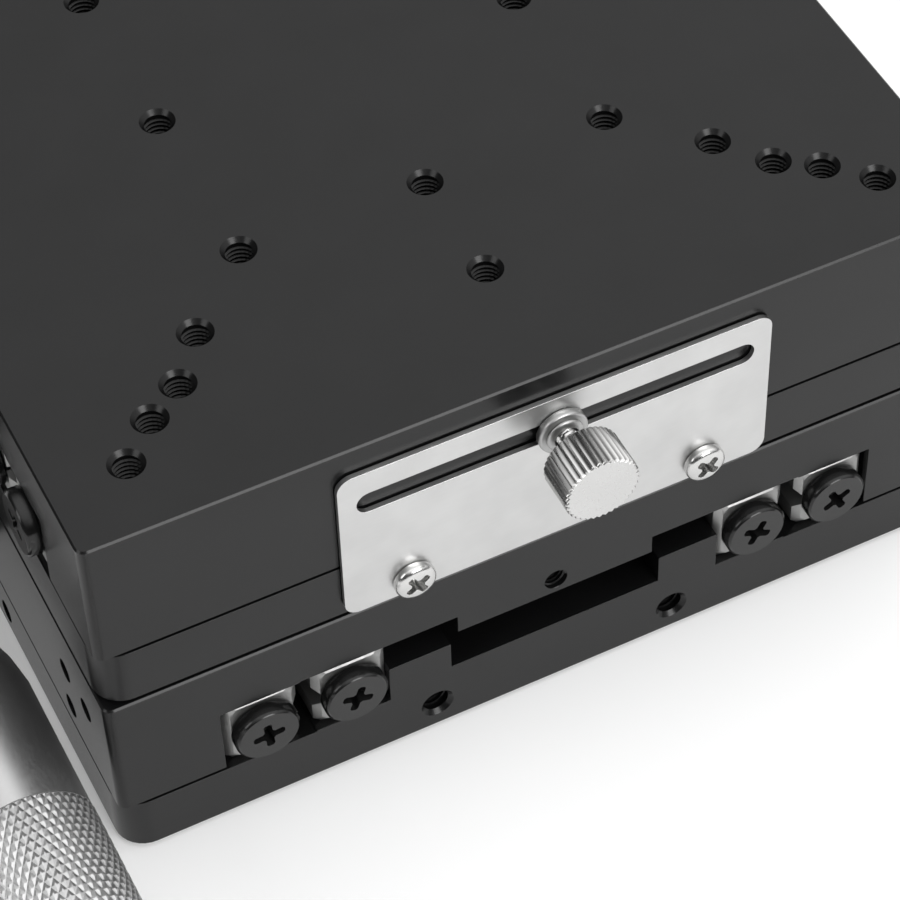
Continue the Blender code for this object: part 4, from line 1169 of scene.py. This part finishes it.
# %% [markdown]
# The thimble is a stack of rings: plain ones for the bevel that will carry the scale, then the knurled
# grid, then plain ones round the rear. All have the same number of points, so one skin joins them with no
# seam between smooth and knurled. A ring of small pyramids set on a tube would leave hundreds of seams.

# %% Thimble
def thimble_shape():
    """The thimble: plain rings in front, the knurled grid, plain rings behind."""
    steps = AROUND * FINE
    rows = int((KNURL_START - KNURL_END) / ROW * FINE)
    inner = [(-91.8, BORE), (THIMBLE_REAR, BORE), (THIMBLE_REAR, LIP)]
    inner += [(BEVEL_END, BEVEL_TOP), (SLOPE_END, THIMBLE)]
    sunk = THIMBLE - 0.3
    groove_out = [(-62.27, THIMBLE), (-62.27, sunk), (KNURL_START, sunk)]
    tail_places = [(KNURL_END, sunk), (KNURL_END - 0.2, sunk), (KNURL_END - 0.2, THIMBLE)]
    tail_places += [(THIMBLE_FRONT + 0.4, THIMBLE), (THIMBLE_FRONT, THIMBLE - 0.4), (THIMBLE_FRONT, 5.0)]
    bm = bmesh.new()
    twist_end = (KNURL_START - KNURL_END) / ROW * TWIST

    def ring(place, radius, twist=0.0, heights=None):
        """One ring of points. heights gives the knurl's height at each."""
        points = []
        for i in range(steps):
            turn = FIRST_PEAK_TURN + 2 * pi * (i / FINE + twist) / AROUND
            reach = radius - (KNURL_DEPTH * (1 - heights[i]) if heights else 0)
            points.append(bm.verts.new((MIC_X + reach * sin(turn), place, MIC_Z + reach * cos(turn))))
        return points

    def skin(low, high):
        """Faces between two rings."""
        for i in range(steps):
            j = (i + 1) % steps
            bm.faces.new((low[i], low[j], high[j], high[i]))

    front = [ring(place, radius) for place, radius in inner + groove_out]
    grid, levels = [], []
    for row in range(rows + 1):
        place = KNURL_START + (KNURL_END - KNURL_START) * row / rows
        number = (FIRST_PEAK_ROW - place) / ROW
        heights = [knurl_height(i / FINE, number) for i in range(steps)]
        levels.append(heights)
        grid.append(ring(place, THIMBLE + KNURL_RISE, number * TWIST, heights))
    tail = [ring(place, radius, twist_end) for place, radius in tail_places]
    for low, high in zip(front, front[1:] + [grid[0]]):
        skin(low, high)
    for row in range(rows):
        for i in range(steps):
            j = (i + 1) % steps
            a, b, c, d = grid[row][i], grid[row][j], grid[row + 1][j], grid[row + 1][i]
            rise = levels[row][i] - levels[row + 1][j]
            fall = levels[row][j] - levels[row + 1][i]
            if abs(rise) < abs(fall):
                bm.faces.new((a, b, c))
                bm.faces.new((a, c, d))
            else:
                bm.faces.new((a, b, d))
                bm.faces.new((b, c, d))
    for low, high in zip([grid[-1]] + tail, tail):
        skin(low, high)
    bm.faces.new(tail[-1])
    bm.faces.new(front[0][::-1])
    return bm


thimble = smooth(workpiece(thimble_shape()), radians(14))
for stage in STAGE_PLACE:
    name, body = f"{stage}_knurled_thimble", f"{TRAVEL[stage]}_thimble"
    hand_over(thimble, name, stage, satin_chrome, body, [f"{stage}_thimble"], keep=True)
print("thimble:", len(thimble.data.polygons), "faces")
bpy.data.objects.remove(thimble, do_unlink=True)

# %% [markdown]
# Barrel, spindle and friction cap are lathe work on the real head too, so a profile spun about the axis
# gives each its shape, down to the small chamfers. A cylinder with a bevel would need a cut for every step
# in it. The cap's fine flutes are a ripple in its radius.

# %% Barrel, spindle and friction cap
CAP, CAP_FLUTES, CAP_FLUTE = 6.5, 60, 0.22
barrel_profile = [(-66.5, 3.5), (-66.5, 6.85), (-66.3, 7.0), (-4.75, 7.0), (-4.55, 6.8), (-4.55, 6.0)]
barrel_profile += [(12.2, 6.0), (12.5, 5.7), (12.5, 3.5)]
spindle_profile = [(-91.5, 3.2), (39.6, 3.2), (39.9, 3.1), (40.2, 2.6), (40.2, 1.2)]
cap_profile = [(-96.85, 4.0), (-98.05, 4.0), (-98.05, 5.6), (-98.25, 6.1), (-98.6, 6.35)]
cap_profile += [(-98.6 - 10.6 * i / 6, CAP) for i in range(7)]
cap_profile += [(-109.6, 6.3), (-109.9, 5.9), (-110.05, 5.4), (-110.05, 3.0), (-109.7, 2.6), (-109.7, 1.0)]


def cap_ripple(place, radius, turn):
    """Flutes on the wide part of the cap."""
    return -CAP_FLUTE * (1 - abs(sin(CAP_FLUTES / 2 * turn))) if radius > CAP - 0.3 else 0.0


barrel = smooth(workpiece(turned(barrel_profile, 72, "Y", MIC, closed_loop=True)), radians(40))
spindle = smooth(workpiece(turned(spindle_profile, 48, "Y", MIC)), radians(40))
cap = smooth(workpiece(turned(cap_profile, CAP_FLUTES * 6, "Y", MIC, ripple=cap_ripple)), radians(40))
for stage in STAGE_PLACE:
    spindle_body, thimble_body = f"{TRAVEL[stage]}_spindle", f"{TRAVEL[stage]}_thimble"
    for part, name, coat, body, node_name in (
        (barrel, "scale_barrel", satin_chrome, FIXED_BODY[stage], "micrometer_barrel"),
        (spindle, "ground_spindle", ground[stage], spindle_body, "spindle"),
        (cap, "fluted_friction_cap", satin_chrome, thimble_body, "friction_cap"),
    ):
        nodes = [f"{stage}_{node_name}"]
        hand_over(part, f"{stage}_{name}", stage, coat, body, nodes, keep=True)
print("cap:", len(cap.data.polygons), "faces")
for part in (barrel, spindle, cap):
    bpy.data.objects.remove(part, do_unlink=True)

# %% [markdown]
# The dial: fifty lines round the thimble's bevel, each fifth one longer, and a scale in half millimetres
# along the barrel. A real one is engraved and inked. A painted map would need its own layout and go soft
# close up, so each kind of line is made once, as a thin inked bar that stands a hair proud of the metal,
# and Geometry Nodes stand it on points that say which way it faces.
# The head is clamped with its index line up and outwards, where a hand at the thimble can read it.

# %% Scale lines
PROUD, SUNK, LINE_WIDE, BARREL, INDEX_TURN = 0.02, -0.03, 0.14, 7.0, -0.7
BEVEL_CLIMB = (BEVEL_TOP - LIP) / (THIMBLE_REAR - BEVEL_END)
NUMBER_CLIMB = (THIMBLE - BEVEL_TOP) / (BEVEL_END - SLOPE_END)
LINE_EDGES = ((-LINE_WIDE / 2, SUNK), (LINE_WIDE / 2, SUNK), (LINE_WIDE / 2, PROUD), (-LINE_WIDE / 2, PROUD))


def straight_line(long, climb=0.0):
    """A line that runs along the micrometer, from the origin towards -Y, climbing as it goes."""
    return workpiece(loft([[(x, -y, rise + climb * y) for x, rise in LINE_EDGES] for y in (0, long)]))


def barrel_line(long):
    """A line that goes round the barrel, from the origin towards +X."""
    rings = []
    for turn in (0, long / 2 / BARREL, long / BARREL):
        ring = []
        for y, rise in LINE_EDGES:
            reach = BARREL + rise
            ring.append((reach * sin(turn), y, reach * cos(turn) - BARREL))
        rings.append(ring)
    return workpiece(loft(rings))


def on_micrometer(radius, place, turn=0.0, spin=0.0):
    """A point on the micrometer, with the way out of the metal. turn is the angle from the index line."""
    angle = INDEX_TURN + turn
    x, z = sin(angle), cos(angle)
    return ((MIC_X + radius * x, place, MIC_Z + radius * z), (x, 0, z), 1.0, spin)


def taken_apart(obj):
    """The mesh of an object as a bmesh, without the object."""
    bm = bmesh.new()
    bm.from_mesh(obj.data)
    bpy.data.objects.remove(obj, do_unlink=True)
    return bm


def ruled(line, points):
    """A line on each point, as a bmesh."""
    marks = taken_apart(grow(copy_tree, points, {"Piece": line, "Finish": ink}))
    bpy.data.objects.remove(line, do_unlink=True)
    return marks


print("lines stand", PROUD, "mm proud and are", LINE_WIDE, "mm wide")

# %% [markdown]
# The numbers are Blender text made into a mesh, and each of its points is then moved from the flat page
# onto the cylinder or the cone. A Curve modifier could bend it too, but the rule is a few lines here and
# exact. They read from the bracket towards the thimble, as on a real head.

# %% Wrapped numbers
THIMBLE_DIGITS, THIMBLE_DIGITS_AT, THIMBLE_DIGITS_RADIUS = 1.7, -39.5, 8.725
BARREL_DIGITS, BESIDE_LINE = 1.6, 3.2


def wrapped_text(words, size, place, turn, radius, climb=0.0):
    """Text as a thin mesh wrapped round the micrometer, on a radius that grows along the text by climb."""
    curve = bpy.data.curves.new("dial_text", "FONT")
    curve.body = words
    curve.size = size
    curve.align_x = "CENTER"
    curve.align_y = "CENTER"
    curve.extrude = 0.02
    holder = bpy.data.objects.new("dial_text", curve)
    bpy.context.scene.collection.objects.link(holder)
    graph = bpy.context.evaluated_depsgraph_get()
    mesh = bpy.data.meshes.new_from_object(holder.evaluated_get(graph))
    bpy.data.objects.remove(holder, do_unlink=True)
    bm = bmesh.new()
    bm.from_mesh(mesh)
    bpy.data.meshes.remove(mesh)
    bmesh.ops.remove_doubles(bm, verts=bm.verts, dist=1e-4)
    for vert in bm.verts:
        x, y, z = vert.co
        angle = INDEX_TURN + turn + y / radius
        reach = radius + climb * x + z
        vert.co = (MIC_X + reach * sin(angle), place - x, MIC_Z + reach * cos(angle))
    return bm


print("digits:", THIMBLE_DIGITS, "mm on the thimble,", BARREL_DIGITS, "mm on the barrel")

# %% [markdown]
# Whole millimetres stand on one side of the index line and halves on the other, because one turn of the
# thimble is half a millimetre. At rest the thimble's edge stands at 25, the middle of the travel, with its
# own zero on the index line.

# %% Both scales
SCALE_ZERO, BEVEL_INSET = -9.5, 0.2


def thimble_marks():
    """Fifty lines on the bevel, each fifth one longer, and its number on the slope behind."""
    radius, place = LIP + BEVEL_CLIMB * BEVEL_INSET, THIMBLE_REAR - BEVEL_INSET
    turns = [2 * pi * line / 50 for line in range(50)]
    short = [on_micrometer(radius, place, turn) for line, turn in enumerate(turns) if line % 5]
    long = [on_micrometer(radius, place, turn) for turn in turns[::5]]
    marks = [ruled(straight_line(1.7, BEVEL_CLIMB), short), ruled(straight_line(2.7, BEVEL_CLIMB), long)]
    for i, turn in enumerate(turns[::5]):
        words, at, out = str(5 * i), THIMBLE_DIGITS_AT, THIMBLE_DIGITS_RADIUS
        marks.append(wrapped_text(words, THIMBLE_DIGITS, at, turn, out, NUMBER_CLIMB))
    return joined(marks)


def barrel_marks():
    """The index line, whole millimetres on one side of it, halves on the other, and the numbers."""
    marks = [ruled(straight_line(54.0), [on_micrometer(BARREL, -6.0)])]
    whole = [on_micrometer(BARREL, SCALE_ZERO - mm) for mm in range(51) if mm % 5]
    fifth = [on_micrometer(BARREL, SCALE_ZERO - mm) for mm in range(0, 51, 5)]
    half = [on_micrometer(BARREL, SCALE_ZERO - 0.5 - mm, spin=pi) for mm in range(50)]
    for long, points in ((1.2, whole), (2.0, fifth), (1.2, half)):
        marks.append(ruled(barrel_line(long), points))
    for mm in range(0, 51, 5):
        marks.append(wrapped_text(str(mm), BARREL_DIGITS, SCALE_ZERO - mm, BESIDE_LINE / BARREL, BARREL))
    return joined(marks)


for stage in STAGE_PLACE:
    marks = smooth(workpiece(thimble_marks()))
    thimble_body = f"{TRAVEL[stage]}_thimble"
    hand_over(marks, f"{stage}_thimble_scale", stage, ink, thimble_body, [])
    marks = smooth(workpiece(barrel_marks()))
    hand_over(marks, f"{stage}_barrel_scale", stage, ink, FIXED_BODY[stage], [])
print("scales:", len(marks.data.polygons), "faces on one barrel")

# %% [markdown]
# The bracket that clamps the micrometer and the block that its spindle pushes are milled from the same
# black aluminium. Socket screws hold the block, and larger ones the upper stage: a cylinder head with a
# six-sided recess, sunk in a counterbore. The screw is turned and its recess cut, and it is made once for
# each size, since only its place differs from hole to hole.

# %% Socket screw
def socket_screw(head, thick, shank, length, key):
    """A socket head screw on the Z axis, with its seat at zero."""
    profile = [(-length, shank), (0, shank), (0, head), (thick - head * 0.12, head), (thick, head * 0.88)]
    screw = workpiece(turned(profile, 40, "Z"))
    six = [(key * cos(pi / 3 * i), key * sin(pi / 3 * i)) for i in range(6)]
    cut(screw, extruded(six, thick * 0.35, thick + OVERRUN, "Z"))
    return soften(screw, 0.05, steps=1, over=50)


socket_m3 = socket_screw(2.75, 3.0, 1.5, 3.0, 1.44)
socket_m4 = socket_screw(3.5, 3.9, 2.0, 3.0, 1.73)
print("socket screw:", len(socket_m4.data.polygons), "faces")

# %% [markdown]
# The bracket is a foot and a ring in one outline, drawn out to its depth, bored for the barrel and slit, so
# that a screw could pinch it. Separate blocks joined up would leave seams where the real one has none.

# %% Brackets
BRACKET_FRONT, BRACKET_REAR, RING, SLIT = -4.5, 12.5, 10, 0.6
bracket_outline = [(-60.05, 0.8), (-60.05, 9.2), (-60.6, 9.2), (-60.6, 25.0)]
for step in range(33):
    turn = radians(90 + 135 * step / 32)
    bracket_outline.append((MIC_X + RING * cos(turn), MIC_Z + RING * sin(turn)))
bracket_outline.append((-73.6, 0.8))
bracket = workpiece(extruded(bracket_outline, BRACKET_FRONT, BRACKET_REAR))
cut(bracket, turned([(BRACKET_FRONT - 1, 6.05), (BRACKET_REAR + 1, 6.05)], 64, "Y", MIC))
slit = [(MIC_X, MIC_Z - SLIT), (MIC_X, MIC_Z + SLIT)]
slit += [(MIC_X - RING - 1, MIC_Z + SLIT), (MIC_X - RING - 1, MIC_Z - SLIT)]
cut(bracket, extruded(slit, BRACKET_FRONT - 1, BRACKET_REAR + 1))
soften(bracket, 0.3, steps=2, over=50)
for stage in STAGE_PLACE:
    body, nodes = FIXED_BODY[stage], [f"{stage}_bracket"]
    hand_over(bracket, f"{stage}_clamp_bracket", stage, anodised, body, nodes, keep=True)
print("bracket:", len(bracket.data.polygons), "faces")
bpy.data.objects.remove(bracket, do_unlink=True)

# %% [markdown]
# The anvil block sits on the table's side and takes the spindle's push on a small button of ground steel,
# because the black coat would not stand the wear. Its outline is drawn out along the travel, and two
# counterbores take its screws.

# %% Anvil blocks
ANVIL_SIDE, ANVIL_FRONT, ANVIL_REAR = -79.0, 41.2, 55.1
ANVIL_SCREWS, COUNTERBORE, COUNTERBORE_DEPTH = ((45.0, 20.4), (51.7, 20.4)), 3.0, 3.6
anvil_outline = [(-60.05, 10.6), (-60.05, 24.0), (ANVIL_SIDE + 1, 24.0)]
anvil_outline += [(ANVIL_SIDE, 23.0), (ANVIL_SIDE, 11.6), (ANVIL_SIDE + 1, 10.6)]
anvil = workpiece(extruded(anvil_outline, ANVIL_FRONT, ANVIL_REAR))
bores = []
for y, z in ANVIL_SCREWS:
    bore = [(ANVIL_SIDE + COUNTERBORE_DEPTH, COUNTERBORE), (ANVIL_SIDE - 1, COUNTERBORE)]
    bores.append(turned(bore, 40, "X", (0, y, z)))
cut(anvil, joined(bores))
soften(anvil, 0.3, steps=2, over=50)
button = [(40.5, 2.6), (40.5, 3.3), (40.75, 3.8), (41.1, 4.0), (42.2, 4.0)]
for stage in STAGE_PLACE:
    body, nodes = MOVING_BODY[stage], [f"{stage}_anvil_block"]
    hand_over(anvil, f"{stage}_anvil_body", stage, anodised, body, nodes, keep=True)
    tip = smooth(workpiece(turned(button, 48, "Y", MIC)), radians(40))
    hand_over(tip, f"{stage}_anvil_button", stage, ground[stage], body, [])
print("anvil block:", len(anvil.data.polygons), "faces")
bpy.data.objects.remove(anvil, do_unlink=True)

# %% [markdown]
# The same tree stands the socket screws in their counterbores. Four larger ones hold the upper stage on the
# lower table. They lie deep in the flange and show when the upper table moves aside.

# %% Their screws, and the ones that join the two stages
for stage in STAGE_PLACE:
    body, points = MOVING_BODY[stage], []
    for y, z in ANVIL_SCREWS:
        spot = on_stage(stage, (ANVIL_SIDE + COUNTERBORE_DEPTH - 0.05, y, z), (-1, 0, 0))
        points.append((*spot, MM, 0.3 * y))
    screws = smooth(grow(copy_tree, points, {"Piece": socket_m3, "Finish": blackened}))
    hand_over(screws, f"{body}_anvil_screws", None, blackened, body, [])
points = []
for sx in (-1, 1):
    for sy in (-1, 1):
        seat = (sx * FOOT_PLACE, sy * FOOT_PLACE, FLANGE - FOOT_BORE_DEPTH + 0.02)
        points.append((*on_stage("upper", seat, (0, 0, 1)), MM, 0.4 * sx + 0.9 * sy))
screws = smooth(grow(copy_tree, points, {"Piece": socket_m4, "Finish": blackened}))
hand_over(screws, "middle_joining_screws", None, blackened, "middle", [])
print("screws that join the stages:", len(points))
for used in (socket_m3, socket_m4):
    bpy.data.objects.remove(used, do_unlink=True)

# %% [markdown]
# The return spring lies in the recess, hooked on a pin of the base and a pin of the table. It is one
# unbroken wire: a hook, the coils, a hook. A screw modifier would make the coils but not the hooks, so the
# wire's centre line is worked out point by point and a curve gives it its thickness. It crosses the travel
# joint.

# %% Return spring
COIL, WIRE, TURNS, COIL_STEPS = 1.95, 0.25, 56, 10
SPRING_START, SPRING_END = -47.6, 9.6
HOOK, HOOK_WIDTH, HOOK_TURN, HOOK_STEPS = 1.7, 0.98, 1.25 * pi, 8
hook_turns = [HOOK_TURN * step / HOOK_STEPS for step in range(HOOK_STEPS + 1)]
route = []
for turn in reversed(hook_turns):
    route.append(Vector((HOOK * sin(turn) * HOOK_WIDTH, BASE_PIN_Y + HOOK * cos(turn), SPRING_Z)))
for step in range(TURNS * COIL_STEPS + 1):
    turn = 2 * pi * step / COIL_STEPS
    y = SPRING_START + (SPRING_END - SPRING_START) * step / (TURNS * COIL_STEPS)
    route.append(Vector((COIL * sin(turn), y, SPRING_Z + COIL * cos(turn))))
for turn in hook_turns:
    route.append(Vector((HOOK * sin(turn) * HOOK_WIDTH, TABLE_PIN_Y - HOOK * cos(turn), SPRING_Z)))
print("spring wire:", len(route), "points")

# %% [markdown]
# A curve with a bevel depth makes the wire round, and it becomes a mesh before its place is applied.

# %% Both springs
for stage in STAGE_PLACE:
    curve = bpy.data.curves.new("spring_route", "CURVE")
    curve.dimensions = "3D"
    curve.bevel_depth = WIRE
    curve.bevel_resolution = 1
    curve.use_fill_caps = True
    line = curve.splines.new("POLY")
    line.points.add(len(route) - 1)
    for point, place in zip(line.points, route):
        point.co = (*place, 1)
    holder = bpy.data.objects.new("spring_route", curve)
    bpy.context.scene.collection.objects.link(holder)
    graph = bpy.context.evaluated_depsgraph_get()
    wire_mesh = bpy.data.meshes.new_from_object(holder.evaluated_get(graph))
    bpy.data.objects.remove(holder, do_unlink=True)
    spring = bpy.data.objects.new("spring", wire_mesh)
    bpy.context.scene.collection.objects.link(spring)
    smooth(spring, radians(60))
    nodes = [f"{stage}_return_spring"]
    hand_over(spring, f"{stage}_coil_spring", stage, spring_steel, None, nodes)
    start, end = (STAGE_PLACE[stage] @ Vector((0, y, SPRING_Z)) for y in (SPRING_START, SPRING_END))
    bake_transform(spring)
    print(stage, "spring:", len(spring.data.polygons), "faces")

# %% [markdown]
# Last, every CAD node that still shows gets its finish, and the pieces and their triangles are counted.

# %% Finish
hidden = {node for piece in made_pieces for node in piece.get("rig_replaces", [])}
for name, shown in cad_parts.items():
    if name not in hidden:
        print("CAD node still shown:", name)
        for material_slot in shown.material_slots:
            material_slot.material = anodised
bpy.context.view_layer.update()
total = sum(len(p.vertices) - 2 for piece in made_pieces for p in piece.data.polygons)
print("pieces:", len(made_pieces), "triangles:", total)
